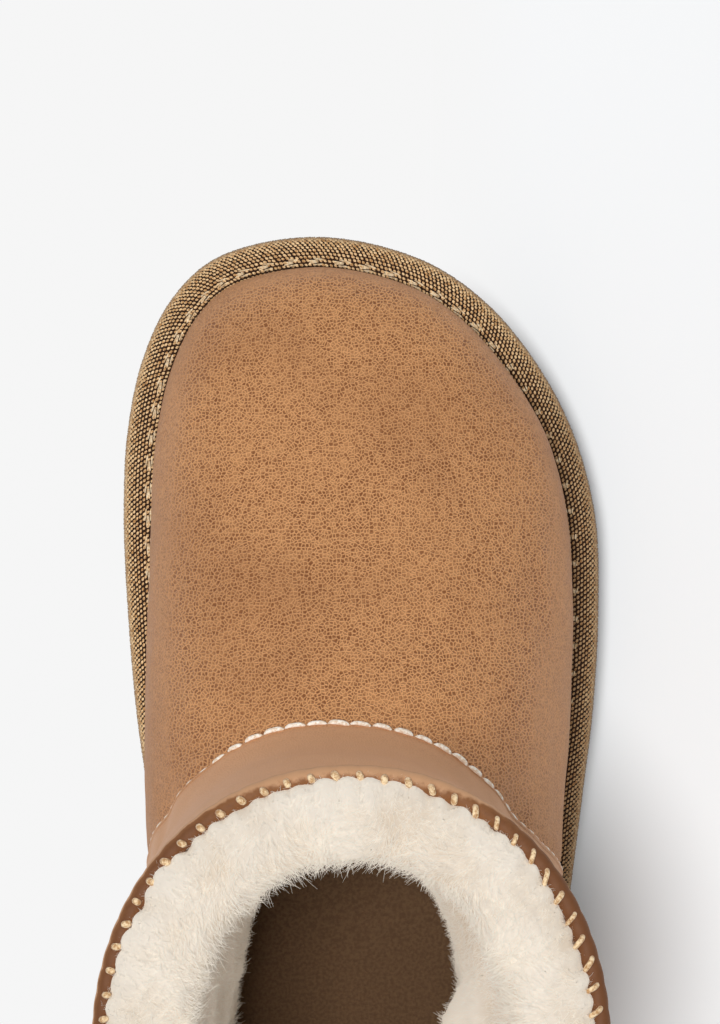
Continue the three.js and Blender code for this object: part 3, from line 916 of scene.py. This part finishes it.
def crease_depth(points, normals):
    """How far the soft folds press the shaft in."""
    total = np.zeros(points.shape[:-1])
    for fold in CREASES:
        along = points[..., 1] - fold["along"] * SOLE_LENGTH
        up = points[..., 2] - upper_base(points[..., 1]) - fold["rise"] * SHAFT_HEIGHT
        tilt = math.radians(fold["tilt"])
        run = along * math.cos(tilt) + up * math.sin(tilt)
        off = up * math.cos(tilt) - along * math.sin(tilt) + FOLD_BOW * run**2
        on_side = smooth(normals[..., 0] * fold["side"], *FOLD_SIDE)
        furrow = np.exp(-((off / fold["width"]) ** 2))
        crest = np.exp(-(((off - CREST_AWAY * fold["width"]) / fold["width"]) ** 2))
        ends = np.exp(-((2 * run / fold["length"]) ** 2))
        total += fold["depth"] * (furrow - CREST_SHARE * crest) * ends * on_side
    return total


upper_heights = level_heights(UPPER_LEVELS, 0, UPPER_TOP)
upper_outside = on_base(level_rings(upper_heights, np.zeros(UPPER_LEVELS), UPPER_COLUMNS))
upper_normals = ring_normals(upper_outside)
soft = many_lumps(upper_outside, UPPER_LUMPS)
above_sole = smooth(upper_heights, 0, CALM_OVER_SOLE)[:, None]
below_collar = smooth(UPPER_TOP - upper_heights, 0, CALM_UNDER_COLLAR)[:, None]
pressed = crease_depth(upper_outside, upper_normals) - soft
upper_shape = upper_outside - upper_normals * (pressed * above_sole * below_collar)[..., None]
seam_side = ahead_of_seam(upper_outside)
tuck = SEAM_TUCK * np.exp(-((seam_side / SEAM_TUCK_REACH) ** 2))
faces = grid_faces(UPPER_LEVELS, UPPER_COLUMNS)

vamp_points = upper_shape - upper_normals * (SHAFT_LAP + tuck)[..., None]
points, triangles, _ = cut_by(vamp_points.reshape(-1, 3), faces, (seam_side + VAMP_LAP).ravel())
points, triangles = without_unused(points, triangles)
add_piece("vamp", points, triangles, grained, "upper_vamp", "grained_leather")

shaft_points = upper_shape - upper_normals * (0.5 * tuck)[..., None]
points, triangles, cut = cut_by(shaft_points.reshape(-1, 3), faces, -seam_side.ravel())
seam_line = points[chain(cut)]
points, triangles = without_unused(points, triangles)
add_piece("shaft", points, triangles, smooth_leather, "upper_shaft", "smooth_leather")


def even_path(points, pitch):
    """Distances along a line at a pitch that fits its length, and a function that gives the places."""
    walked = distances(points)
    count = int(round(walked[-1] / pitch))
    at = np.arange(count) * walked[-1] / count + walked[-1] / count / 2

    def place(distance):
        held = np.clip(distance, 0, walked[-1])
        return np.stack([np.interp(held, walked, points[:, k]) for k in range(3)], -1)

    return at, place


def upper_normal_at(points):
    """Outward direction of the upper at points near it."""
    h = points[:, 2] - upper_base(points[:, 1])
    x, y = points[:, 0], points[:, 1]
    slope = [
        boot_form(x + a, y + b, h + c, 0.0) - boot_form(x - a, y - b, h - c, 0.0)
        for a, b, c in PROBE * np.eye(3)
    ]
    return unit(np.stack(slope, 1))


# Hem of the shaft and the thick thread along the seam
def smooth_line(points, rounds):
    out = points.copy()
    for _ in range(rounds):
        out[1:-1] = (out[:-2] + 2 * out[1:-1] + out[2:]) / 4
    return out


seam_line = smooth_line(seam_line, 6)
seam_out = upper_normal_at(seam_line)
hem = thread(seam_line - seam_out * HEM_SINK, HEM_RADIUS, sides=10, taper=1.0)
add_piece("shaft_hem", *hem, smooth_leather, slot="smooth_leather")

at, place = even_path(seam_line, SEAM_STITCH_PITCH)
stitches = []
for distance in at:
    reach = SEAM_STITCH_LENGTH / 2 * rng.uniform(*SEAM_LENGTHS)
    span = place(distance + np.linspace(-reach, reach, STITCH_POINTS))
    out = upper_normal_at(span)
    toeward = unit(np.cross(np.gradient(span, axis=0), out))
    toeward *= np.sign(toeward[:, 1:2])
    t = np.linspace(-1, 1, STITCH_POINTS)[:, None]
    sunk = SEAM_SINK * smooth(np.abs(span[STITCH_POINTS // 2, 0]), SEAM_SINK_START, SEAM_SINK_END)
    lift = SEAM_THREAD - sunk - SEAM_DIVE * t**4
    slant = SEAM_SLANT * t * rng.uniform(*SEAM_SLANTS)
    size = SEAM_THREAD * rng.uniform(*SEAM_SIZES)
    stitches.append(thread(span + out * lift + toeward * (SEAM_AHEAD + slant), size, 8, 0.5))
add_piece("seam_thread", *join_parts(stitches), cream_thread, slot="fleece")

# Collar: rolled edge and overcast thread
COLLAR_COLUMNS = 720
COLLAR_SECTION = 15
COLLAR_TURN = (-0.55 * np.pi, 1.25 * np.pi)
COLLAR_SIDE = (8, 28)
COLLAR_SWELL = 0.14
COLLAR_HEIGHTEN = 0.2

# Where the raw edge starts round the section and how wide it fades in, in half turns, at the front;
# how much earlier and narrower at the sides; and how raw it is at the front
RAW_START = 0.16
RAW_EARLIER_OUTSIDE = 0.26
RAW_EARLIER_INSIDE = 0.1
RAW_WIDTH = 0.45
RAW_NARROWER = 0.2
RAW_FRONT = 0.52

collar_ring = on_base(level_rings([SHAFT_HEIGHT], [0.0], COLLAR_COLUMNS))[0]
collar_walk = distances(np.concatenate([collar_ring, collar_ring[:1]]))
collar_share = collar_walk / collar_walk[-1]
collar_turn = np.arange(COLLAR_COLUMNS + 1) / COLLAR_COLUMNS
OVERCAST_COUNT = int(round(collar_walk[-1] / OVERCAST_PITCH))


def between_stitches(columns):
    """1 midway between two overcast stitches and 0 at a stitch, for the columns of a ring."""
    share = np.interp(np.arange(columns) / columns, collar_turn, collar_share)
    return np.abs(np.sin(np.pi * share * OVERCAST_COUNT))


bulge = between_stitches(COLLAR_COLUMNS)
half_width = BINDING_WIDTH / 2
rings = []
raw = []
for angle in np.linspace(*COLLAR_TURN, COLLAR_SECTION):
    out = math.cos(angle) * half_width
    up = math.sin(angle) * BINDING_HEIGHT / 2
    swell = 1 + COLLAR_SWELL * (bulge - 0.6) * (0.4 + 0.6 * max(0, math.sin(angle) + 0.4))
    inset = half_width - BINDING_PROUD - out * swell
    height = SHAFT_HEIGHT - BINDING_HEIGHT / 2 + up * (1 + COLLAR_HEIGHTEN * (bulge - 0.7))
    ring = top_ring(inset, COLLAR_COLUMNS)
    ring[:, 2] = height
    rings.append(ring)
    outside, inside = (smooth(x, *COLLAR_SIDE) for x in (ring[:, 0], -ring[:, 0]))
    beside = outside + inside
    start = (RAW_START - RAW_EARLIER_OUTSIDE * outside - RAW_EARLIER_INSIDE * inside) * np.pi
    width = (RAW_WIDTH - RAW_NARROWER * beside) * np.pi
    raw.append(np.clip((angle - start) / width, 0, 1) * mix(RAW_FRONT, 1.0, beside))
collar = on_base(np.array(rings))
piece = add_rings("collar_edge", collar, dark_leather, "collar_binding", "dark_leather")
paint(piece, "raw", np.array(raw))

# One overcast stitch over the edge to the pile: depth behind the collar's face, and rise. It is long on
# the outer side of the boot and drawn in to a bead on the inner side.
OVERCAST = table(
    "bead_inset bead_rise long_inset long_rise",
    (0.72, -0.7, 0.62, -0.7),
    (0.7, -0.1, 0.58, -0.15),
    (0.75, 0.2, 0.75, 0.18),
    (0.87, 0.33, 1.1, 0.4),
    (1.03, 0.34, 1.5, 0.46),
    (1.17, 0.22, 1.9, 0.38),
    (1.25, -0.1, 2.2, 0.05),
    (1.25, -0.8, 2.35, -0.8),
)
OVERCAST_SIDE = (2, 30)
OVERCAST_REACHES = (0.7, 1.0)
OVERCAST_SLANTS = (0.02, 0.2)
OVERCAST_SIDE_SLANTS = (0.1, 0.5)
OVERCAST_MOVES = (-0.22, 0.22)
OVERCAST_SIZES = (0.9, 1.12)


def collar_place(share, inset, rise):
    """A point at a share of the way round the collar."""
    angle = np.interp(np.mod(share, 1), collar_share, collar_turn) * 2 * np.pi
    centre, dx, dy = rays(SHAFT_HEIGHT, angle)
    run = float(run_inside(float(SHAFT_HEIGHT), inset, 0.0, centre, dx, dy, 2.0))
    y = centre + dy * run
    return np.array([dx * run, y, upper_base(y) + SHAFT_HEIGHT + rise])


stitches = []
for k in range(OVERCAST_COUNT):
    outwards = collar_place(k / OVERCAST_COUNT, 0.0, 0.0)[0]
    side = float(smooth(outwards, *OVERCAST_SIDE)) * rng.uniform(*OVERCAST_REACHES)
    slant = rng.uniform(*OVERCAST_SLANTS) + rng.uniform(*OVERCAST_SIDE_SLANTS) * side
    slant /= OVERCAST_COUNT
    moved = rng.uniform(*OVERCAST_MOVES)
    path = []
    for n, row in enumerate(OVERCAST):
        share = k / OVERCAST_COUNT + slant * (n / (len(OVERCAST) - 1) - 0.5)
        inset = mix(row["bead_inset"], row["long_inset"], side) + moved
        path.append(collar_place(share, inset, mix(row["bead_rise"], row["long_rise"], side)))
    path = smooth_line(np.repeat(np.array(path), 2, axis=0), 2)
    size = mix(BEAD_THREAD, OVERCAST_THREAD, side) * rng.uniform(*OVERCAST_SIZES)
    stitches.append(thread(path, size, 8, 0.6))
add_piece("overcast_thread", *join_parts(stitches), gold_thread, slot="fleece")

# Fleece: a lumpy ground and loose fibres over it. The rim's rows run from the collar over its top, in
# shares of the pile's thickness and of FLEECE_RISE.
FLEECE_COLUMNS = 420
PILE_LEVELS = 90
PILE_TOP = SHAFT_HEIGHT - 7.5
PILE_SINK = 0.2
# Stored depth of the pile ground: where it is low, the pile is painted darker and warmer as shade in its
# hollows
PILE_DEPTH = 0.5
LUMP_DEPTH = 0.3
STANDING_ROWS = (5, 12)
LOOSE_ROWS = (1, 7)
MOUTH_ROWS = 22
LEG_ROWS = 50
FIBRE_ROOT = 0.25
FIBRE_LENGTHS = (0.5, 1.0)
FIBRE_CURL = 0.5
FIBRE_TAPER = 0.7
LOCK_SIZE = 7
LOCK_TURN = 2.6
TUFT_SIZE = 2.6
PUFF_REACH = 0.3
PUFF_OUT = 0.5
PUFF_UP = 0.8
PILE_FORWARD = 0.45
RIM = table(
    "inset rise",
    (0.0, -1.2),
    (0.0, -0.4),
    (0.03, 0.25),
    (0.1, 0.75),
    (0.2, 1.05),
    (0.32, 1.2),
    (0.46, 1.25),
    (0.6, 1.15),
    (0.74, 0.85),
    (0.87, 0.2),
    (0.97, -0.9),
    (1.02, -2.4),
)
puff = between_stitches(FLEECE_COLUMNS)
rim_rings = []
for row in RIM:
    near_edge = max(0.0, 1 - row["inset"] / PUFF_REACH)
    forward = near_edge * (PUFF_OUT * puff + PILE_FORWARD)
    inset = INNER_WALL + (FLEECE_LEG + SEAM_GAP) * row["inset"] - forward
    ring = top_ring(inset, FLEECE_COLUMNS)
    ring[:, 2] = SHAFT_HEIGHT + FLEECE_RISE * row["rise"] + PUFF_UP * near_edge * (puff - 0.5)
    rim_rings.append(ring)


def fleece_thickness(h):
    return mix(FLEECE_FOOT, FLEECE_LEG, smooth(h, FLEECE_BASE, FLEECE_LEG_START))


pile_heights = level_heights(PILE_LEVELS, FLEECE_BASE, PILE_TOP, FLEECE_OUTER + FLEECE_LEG)[::-1]
pile_rings = level_rings(pile_heights, FLEECE_OUTER + fleece_thickness(pile_heights), FLEECE_COLUMNS)
fleece_grid = on_base(np.concatenate([np.array(rim_rings), pile_rings]))
fleece_normals = ring_normals(fleece_grid)
PILE_LUMPS = table(
    "height size seed",
    (1.1, 8, 0.0),
    (0.45, 2.8, 4.0),
    (0.2, 1.3, 8.0),
)

# Clumps and dents of the pile that show in the opening: their middles, how wide and how far they push
CLUMPS = table(
    "x y z size push",
    (14, 48, 92, 6, 4.5),
    (13, 66, 100, 8, -1.2),
    (0, 70, 104, 17, -1.6),
    (-20, 55, 94, 14, 1.2),
    (-19, 56, 72, 16, 2.8),
    (2, 84, 118, 5, 1.2),
    (-15, 76, 118, 5, 1.0),
    (19, 72, 116, 6, 1.0),
    (3.2, 78, 120, 3, -1.6),
    (4.6, 81.5, 121, 2.6, -1.2),
    (-13.5, 77, 119, 3, -1.5),
    (-19, 66, 119, 3.2, -1.4),
    (22, 58, 119, 3.4, -1.2),
)
lump = many_lumps(fleece_grid, PILE_LUMPS)
for clump in CLUMPS:
    away = np.linalg.norm(fleece_grid - [clump["x"], clump["y"], clump["z"]], axis=2) / clump["size"]
    lump += clump["push"] * np.exp(-(away**2))
under_rim = smooth(np.arange(len(fleece_grid)), *STANDING_ROWS)[:, None]
fleece_shape = fleece_grid + fleece_normals * (lump - PILE_SINK - FIBRE_STAND * under_rim)[..., None]
pile_up = unit(fleece_normals + [0, 0, PILE_UPWARD])
piece = add_rings("fleece_ground", fleece_shape, pile_base, "fleece_lining", "fleece")
# Painted shade: the ground is darker and warmer where its lumps dip
paint(piece, "depth", PILE_DEPTH + LUMP_DEPTH * lump)
# Painted light: the pile glows more towards the top of the leg
paint(piece, "lit", smooth(fleece_shape[..., 2], PILE_LIT_BOTTOM, PILE_LIT_TOP))
piece.data.normals_split_custom_set_from_vertices(pile_up.reshape(-1, 3).tolist())


def fibres(count, longest, first, last):
    """Thin curved ribbons of wool between two rows of the pile, leaning over towards the opening."""
    down = fleece_shape[1:] - fleece_shape[:-1]
    around = np.roll(fleece_shape, -1, 1) - fleece_shape
    weights = np.linalg.norm(np.cross(down, around[:-1]), axis=2)
    weights[:first] = 0
    weights[last:] = 0
    cell = rng.choice(weights.size, count, p=weights.ravel() / weights.sum())
    k, i = np.divmod(cell, weights.shape[1])
    root = fleece_shape[k, i] + around[k, i] * rng.random((count, 1)) + down[k, i] * rng.random((count, 1))
    normal = fleece_normals[k, i]
    ahead = unit(down[k, i])
    side = np.cross(normal, ahead)
    turn = lumps(root, LOCK_SIZE, 31.0)[:, None] * LOCK_TURN
    flow = ahead * np.cos(turn) + side * np.sin(turn)
    clump = lumps(root, TUFT_SIZE, 57.0)[:, None]
    by_collar = smooth(k, *LOOSE_ROWS)[:, None]
    length = longest * rng.uniform(*FIBRE_LENGTHS, (count, 1)) * mix(0.4, 1.0, by_collar)
    lean = mix(ahead, flow, by_collar) * (0.4 + 0.35 * clump)
    aim = unit(normal * 0.5 + lean + rng.normal(0, 0.3, (count, 3)))
    curl = flow * 0.6 - normal * 0.5 + rng.normal(0, 0.4, (count, 3))
    across = unit(np.cross(aim + 0.6 * curl, pile_up[k, i] + rng.normal(0, 0.12, (count, 3))))
    steps = np.linspace(0, 1, 4)
    corners = 2 * len(steps)
    points = []
    for t in steps:
        middle = root - normal * FIBRE_ROOT + (aim * t + curl * t * t * FIBRE_CURL) * length
        width = FIBRE_WIDTH / 2 * (1 - FIBRE_TAPER * t)
        points += [middle - across * width, middle + across * width]
    ids = np.arange(count)[:, None] * corners
    quads = np.concatenate([ids + np.array([2 * s, 2 * s + 1, 2 * s + 3, 2 * s + 2]) for s in range(3)])
    # Painted shade: each fibre is darker and warmer towards its root
    depth = np.tile(np.repeat(steps, 2), count) * 0.4 + 0.35 + np.repeat(0.3 * rng.random(count), corners)
    # Painted light: the fibres glow like the ground beneath them, more towards the top of the leg
    lit = np.repeat(smooth(root[:, 2], PILE_LIT_BOTTOM, PILE_LIT_TOP), corners)
    return np.stack(points, 1).reshape(-1, 3), quads, depth, lit, np.repeat(pile_up[k, i], corners, axis=0)


rim_rows = len(RIM)
for name, count, longest, first, last in (
    ("rim_fibres", FIBRE_COUNT, 3.2, 0, rim_rows),
    ("mouth_fibres", FIBRE_COUNT, 1.5, rim_rows - 2, rim_rows + MOUTH_ROWS),
    ("leg_fibres", FIBRE_COUNT, 1.6, rim_rows + MOUTH_ROWS, rim_rows + LEG_ROWS),
    ("foot_fibres", FIBRE_COUNT // 3, 4.0, rim_rows + LEG_ROWS, rim_rows + PILE_LEVELS),
):
    points, quads, depth, lit, normals = fibres(count, longest, first, last)
    piece = add_piece(name, points, quads, pile_fibre, slot="fleece")
    paint(piece, "depth", depth)
    paint(piece, "lit", lit)
    piece.data.normals_split_custom_set_from_vertices(normals.tolist())

# Insole: rings from its lower edge to the middle of its top, as shares of its size and INSOLE_THICKNESS
INSOLE_COLUMNS = 160
INSOLE_FACE = table(
    "share rise",
    (1.0, 0.0),
    (1.0, 0.85),
    (0.985, 1.0),
    (0.9, 1.0),
    (0.7, 0.96),
    (0.45, 0.94),
    (0.2, 0.93),
    (0.01, 0.93),
)
bottom_ring = level_rings([0.0], [FLEECE_OUTER], INSOLE_COLUMNS)[0]
insole_middle = np.array([0, 0.5 * SOLE_LENGTH])
rings = []
for row in INSOLE_FACE:
    ring = bottom_ring.copy()
    ring[:, :2] = insole_middle + (ring[:, :2] - insole_middle) * row["share"]
    ring[:, 2] = INSOLE_THICKNESS * row["rise"]
    rings.append(ring)
insole = on_base(np.array(rings))
add_rings("insole", insole, felt, "insole", "felt")

# Wrapped midsole: dark ground of the tape, its raised yarns and the chain stitch at the upper
TAPE_COLUMNS = 560
YARN_HALF_LENGTH = 0.34
YARN_HALF_WIDTH = 0.21
YARN_SINK = 0.12
YARN_FLANK = 0.1
YARN_SIZES = (0.88, 1.1)
YARN_STRAY = 0.03
YARN_STEP = 0.2
TAPE_GROUND_DROP = YARN_RISE + 0.08
TAPE_REACH = 0.985
# Painted shade of the yarns: how dark at most, how dark on the boot's outer side, and how much of it is
# taken off on the inner side facing the lamp
SHADE_MOST = 0.85
OUTER_SHADE = 0.55
INNER_LIGHT = 0.4
CHAIN_SIZES = (0.85, 1.2)
CHAIN_SHADED_SIDE = (20, 32)
# Where the painted shade comes in under the tape's round and across the boot's sides
UNDER_ROUND = (0.26, 0.52)
OUTER_SIDE = (18, 38)
CHAIN_OVERLAP = 1.15
CHAIN_SPREAD = 0.42
CHAIN_APART = 0.08
CHAIN_SINK = 0.62
CHAIN_ARCH = 1.15
CHAIN_SHADED_SINK = 0.4
CHAIN_INSET = 0.9 * RAND_WIDTH


def rand_profile(samples):
    """Even points round the side of the midsole: inset from the sole's edge and rise above its bottom."""
    fine = np.linspace(0, len(RAND_SIDE) - 1, 200)
    rows = [{"t": k, **row} for k, row in enumerate(RAND_SIDE)]
    inset = read_table(rows, "t", "inset", fine) * RAND_WIDTH
    rise = read_table(rows, "t", "rise", fine) * MIDSOLE_THICKNESS
    walked = np.concatenate([[0], np.cumsum(np.hypot(np.diff(inset), np.diff(rise)))])
    even = np.linspace(0, walked[-1], samples)
    return np.interp(even, walked, inset), np.interp(even, walked, rise), even


def edge_at(share):
    """A point on the sole's edge and its inward direction at a share of the way round."""
    where = np.mod(share, 1) * EDGE_SAMPLES
    keys = np.arange(EDGE_SAMPLES)
    columns = (*edge_points.T, *edge_inwards.T)
    values = [np.interp(where, keys, column, period=EDGE_SAMPLES) for column in columns]
    return np.stack(values[:2], -1), np.stack(values[2:], -1)


def rand_point(share, inset, rise):
    point, inwards = edge_at(share)
    flat = point + inwards * np.asarray(inset)[..., None]
    return np.concatenate([flat, (midsole_bottom(flat[..., 1]) + rise)[..., None]], -1)


PROFILE_SAMPLES = 40
profile_inset, profile_rise, profile_walk = rand_profile(PROFILE_SAMPLES)
shares = np.arange(TAPE_COLUMNS) / TAPE_COLUMNS
tape = np.stack(
    [rand_point(shares, np.full(TAPE_COLUMNS, a), b) for a, b in zip(profile_inset, profile_rise)]
)
tape_ground = tape - ring_normals(tape) * TAPE_GROUND_DROP
add_rings("tape_ground", tape_ground, weave_dark, "midsole", "woven_tape")


def yarn_grains():
    """Rice-shaped humps where the tape's warp comes over its weft, row by row."""
    rows = int(profile_walk[-1] * TAPE_REACH / WEAVE_ACROSS)
    count = int(edge_length / WEAVE_ALONG)
    row, column = np.meshgrid(np.arange(rows), np.arange(count), indexing="ij")
    row, column = row.ravel(), column.ravel()
    share = (column + 0.5 * (row % 2)) / count
    walk = (row + 0.5) * WEAVE_ACROSS + rng.normal(0, YARN_STRAY, len(row))
    share = share + rng.normal(0, YARN_STRAY / edge_length, len(row))
    step_share = YARN_STEP / edge_length

    def spot(share, walk):
        inset = np.interp(walk, profile_walk, profile_inset)
        return rand_point(share, inset, np.interp(walk, profile_walk, profile_rise))

    centre = spot(share, walk)
    along = unit(spot(share + step_share, walk) - spot(share - step_share, walk))
    across = unit(spot(share, walk + YARN_STEP) - spot(share, walk - YARN_STEP))
    out = unit(np.cross(across, along))
    out *= np.where(out[:, 2:3] < -0.5, -1, 1)
    centre = centre - out * YARN_RISE
    size = rng.uniform(*YARN_SIZES, len(row))[:, None]
    long_half, wide_half, tall = YARN_HALF_LENGTH * size, YARN_HALF_WIDTH * size, YARN_RISE * size
    slant = along * 0.96 + across * 0.28
    points = [centre + slant * long_half - out * YARN_SINK, centre - slant * long_half - out * YARN_SINK]
    for s in (0.5, -0.5):
        points += [
            centre + slant * long_half * s + across * wide_half - out * YARN_FLANK,
            centre + slant * long_half * s - across * wide_half - out * YARN_FLANK,
            centre + slant * long_half * s * 0.9 + out * tall * 0.85,
        ]
    points = np.stack(points, 1)
    # 0 front, 1 back, 2 and 3 front sides, 4 front ridge, 5 and 6 back sides, 7 back ridge
    tris = np.array(
        [(0, 2, 4), (0, 4, 3), (4, 2, 5), (4, 5, 7), (3, 4, 7), (3, 7, 6), (7, 5, 1), (6, 7, 1)]
    )
    faces = (np.arange(len(centre))[:, None, None] * 8 + tris[None]).reshape(-1, 3)
    # Painted shade: yarns past the tape's widest point, on its underside, get a dark share
    under = 1 - smooth(walk / profile_walk[-1], *UNDER_ROUND)
    return points.reshape(-1, 3), faces, np.repeat(under, points.shape[1])


points, faces, under = yarn_grains()
piece = add_piece("tape_yarns", points, faces, weave_light, slot="woven_tape")
# Painted shade on the boot's outer side, and less of it on the inner side, which faces the lamp
under *= 1 - INNER_LIGHT * smooth(-points[:, 0], *OUTER_SIDE)
outer_shade = OUTER_SHADE * smooth(points[:, 0], *OUTER_SIDE)
paint(piece, "shade", SHADE_MOST * np.maximum(under, outer_shade))

count = int(round(edge_length / CHAIN_PITCH))
stitches = []
for k in range(count):
    for side in (-1, 1):
        t = np.linspace(0, 1, STITCH_POINTS)
        share = (k + t * CHAIN_OVERLAP) / count
        sway = side * (CHAIN_SPREAD * (1 - t) ** 1.2 + CHAIN_APART)
        shaded = smooth(edge_at(share[STITCH_POINTS // 2])[0][0], *CHAIN_SHADED_SIDE)
        lift = -CHAIN_SINK + CHAIN_ARCH * np.abs(2 * t - 1) ** 2.6 - CHAIN_SHADED_SINK * shaded
        path = rand_point(share, CHAIN_INSET + sway, MIDSOLE_THICKNESS + lift)
        stitches.append(thread(path, CHAIN_THREAD * rng.uniform(*CHAIN_SIZES), 7, 0.7))
add_piece("chain_stitch", *join_parts(stitches), pale_gold, slot="woven_tape")

# Outsole. The section of a lug is in shares of LUG_LENGTH and LUG_DEPTH.
SOLE_COLUMNS = 360
TREAD_RINGS = (24, 16, 8, 0)
LUG_COLUMNS = 121
LUG_SECTION = table(
    "across deep",
    (0.0, -0.3),
    (0.0, 0.75),
    (0.05, 0.94),
    (0.12, 1.0),
    (0.88, 1.0),
    (0.95, 0.94),
    (1.0, 0.75),
    (1.0, -0.3),
)
sole_edge, sole_inwards = edge_at(np.arange(SOLE_COLUMNS) / SOLE_COLUMNS)


def sole_ring(inset, rise):
    """A ring of the outsole, at a share of the height above its lugs."""
    flat = sole_edge + sole_inwards * inset
    height = mix(outsole_bottom(flat[:, 1]), outsole_top(flat[:, 1]), rise)
    return np.concatenate([flat, height[:, None]], 1)


rings = [sole_ring(TREAD_INSET + further, 0) for further in TREAD_RINGS]
rings += [sole_ring(row["inset"] * RAND_WIDTH, row["rise"]) for row in OUTSOLE_SIDE]
rings.append(sole_ring(RAND_WIDTH, 1))
sole_parts = [(np.array(rings).reshape(-1, 3), grid_faces(len(rings), SOLE_COLUMNS))]
inner = rings[0]
spine = np.stack([np.zeros(len(inner)), inner[:, 1], outsole_bottom(inner[:, 1])], 1)
sole_parts.append((np.concatenate([spine, inner]), grid_faces(2, SOLE_COLUMNS)))


def tread_half_width(y):
    """Half widths of the tread at a place along the sole, to the inner and the outer side."""
    limit = sole_edge + sole_inwards * TREAD_INSET
    outer_side = limit[:, 0] > limit[:, 0][np.argmax(limit[:, 1])]
    sides = []
    for on_side, beyond in ((~outer_side, 99), (outer_side, -99)):
        line = limit[on_side]
        line = line[np.argsort(line[:, 1])]
        sides.append(np.interp(y, line[:, 1], line[:, 0], left=beyond, right=beyond))
    return sides


def lug(k):
    """A chevron bar of the tread with softly rounded edges."""
    half = BALL_WIDTH / 2
    x = np.linspace(-half, half, LUG_COLUMNS)
    rear = FIRST_LUG + k * LUG_PITCH + LUG_CHEVRON * (1 - np.abs(x) / half)
    low, high = tread_half_width(rear)
    low_front, high_front = tread_half_width(rear + LUG_LENGTH)
    keep = (x > np.maximum(low, low_front)) & (x < np.minimum(high, high_front))
    x, rear = x[keep], rear[keep]
    points = []
    for row in LUG_SECTION:
        y = rear + LUG_LENGTH * row["across"]
        points.append(np.stack([x, y, outsole_bottom(y) - LUG_DEPTH * row["deep"]], 1))
    faces = triangles_of(grid_faces(len(LUG_SECTION), len(x), closed=False))
    rows = np.arange(len(LUG_SECTION)) * len(x)
    caps = [[(loop[0], a, b) for a, b in zip(loop[1:], loop[2:])] for loop in (rows, rows + len(x) - 1)]
    return np.array(points).reshape(-1, 3), np.concatenate([faces, *caps])


sole_parts = [(points, triangles_of(faces)) for points, faces in sole_parts]
for k in range(LUG_COUNT):
    sole_parts.append(lug(k))
points, faces = join_parts(sole_parts)
add_piece("outsole", points, faces, rubber, "outsole", "outsole_rubber")

# Floor, light and camera. The paper glows on the lit side of the boot and far away, in metres from it,
# so that the boot's shadow falls on its outer side alone.
CAMERA_HEIGHT = 742
CAMERA_ALONG = 123.1
FOCAL_SHARE = 4448 / 1024
SENSOR_WIDTH = 36
FLOOR_WHITE = (0.945, 0.96, 0.972, 1)
PAPER_GLOW = 0.92
RIGHT_GLOW = 0.03
GLOW_EDGE = (0.012, 0.034)
GLOW_AGAIN = (0.25, 0.9)
DOME_LIGHT = 0.31
LAMP_HEIGHT = 2.4
LAMP_LEAN = 6
LAMP_FORWARD = 0.08
LAMP_SPREAD = 7
LAMP_POWER = 40

floor_mesh = bpy.data.meshes.new("floor")
floor_mesh.from_pydata([(-3, -3, 0), (3, -3, 0), (3, 3, 0), (-3, 3, 0)], [], [(0, 1, 2, 3)])
floor_material, floor_tree, floor_shader = new_material("pale floor", 0.95)
set_inputs(floor_shader, Base_Color=FLOOR_WHITE, Specular_IOR_Level=0.0)
glow = add_node(floor_tree, "ShaderNodeEmission", Strength=PAPER_GLOW)
sideways = floor_tree.nodes.new("ShaderNodeSeparateXYZ")
link(floor_tree, object_coordinates(floor_tree), sideways.inputs[0])
far = floor_tree.nodes.new("ShaderNodeVectorMath")
far.operation = "LENGTH"
link(floor_tree, object_coordinates(floor_tree), far.inputs[0])
beside_boot = ramp(floor_tree, sideways.outputs["X"], *GLOW_EDGE, 1.0, RIGHT_GLOW)
beyond = ramp(floor_tree, far.outputs["Value"], *GLOW_AGAIN)
blend_shaders(floor_tree, math_node(floor_tree, "MAXIMUM", beside_boot, beyond), floor_shader, glow)
floor_mesh.materials.append(floor_material)
floor = add_object("floor", floor_mesh)

world = bpy.data.worlds.new("studio")
bpy.context.scene.world = world
world.use_nodes = True
set_inputs(world.node_tree.nodes["Background"], Color=(1, 1, 1, 1), Strength=DOME_LIGHT)

# A round soft lamp overhead, a little to the left
lamp_data = bpy.data.lights.new("softbox", "AREA")
lamp_data.shape = "DISK"
lamp_data.size = 2 * LAMP_HEIGHT * math.tan(math.radians(LAMP_SPREAD))
lamp_data.energy = LAMP_POWER
lamp = add_object("softbox", lamp_data)
lamp.location = (-LAMP_HEIGHT * math.tan(math.radians(LAMP_LEAN)), LAMP_FORWARD, LAMP_HEIGHT)

camera_data = bpy.data.cameras.new("camera")
camera_data.sensor_width = SENSOR_WIDTH
camera_data.lens = FOCAL_SHARE * SENSOR_WIDTH
camera_data.clip_start = 0.05
camera_data.clip_end = 10
camera = add_object("camera", camera_data)
camera.location = (0, (CAMERA_ALONG - HEEL_ORIGIN) * MM, CAMERA_HEIGHT * MM)
bpy.context.scene.camera = camera

bpy.context.scene.view_settings.view_transform = "Standard"
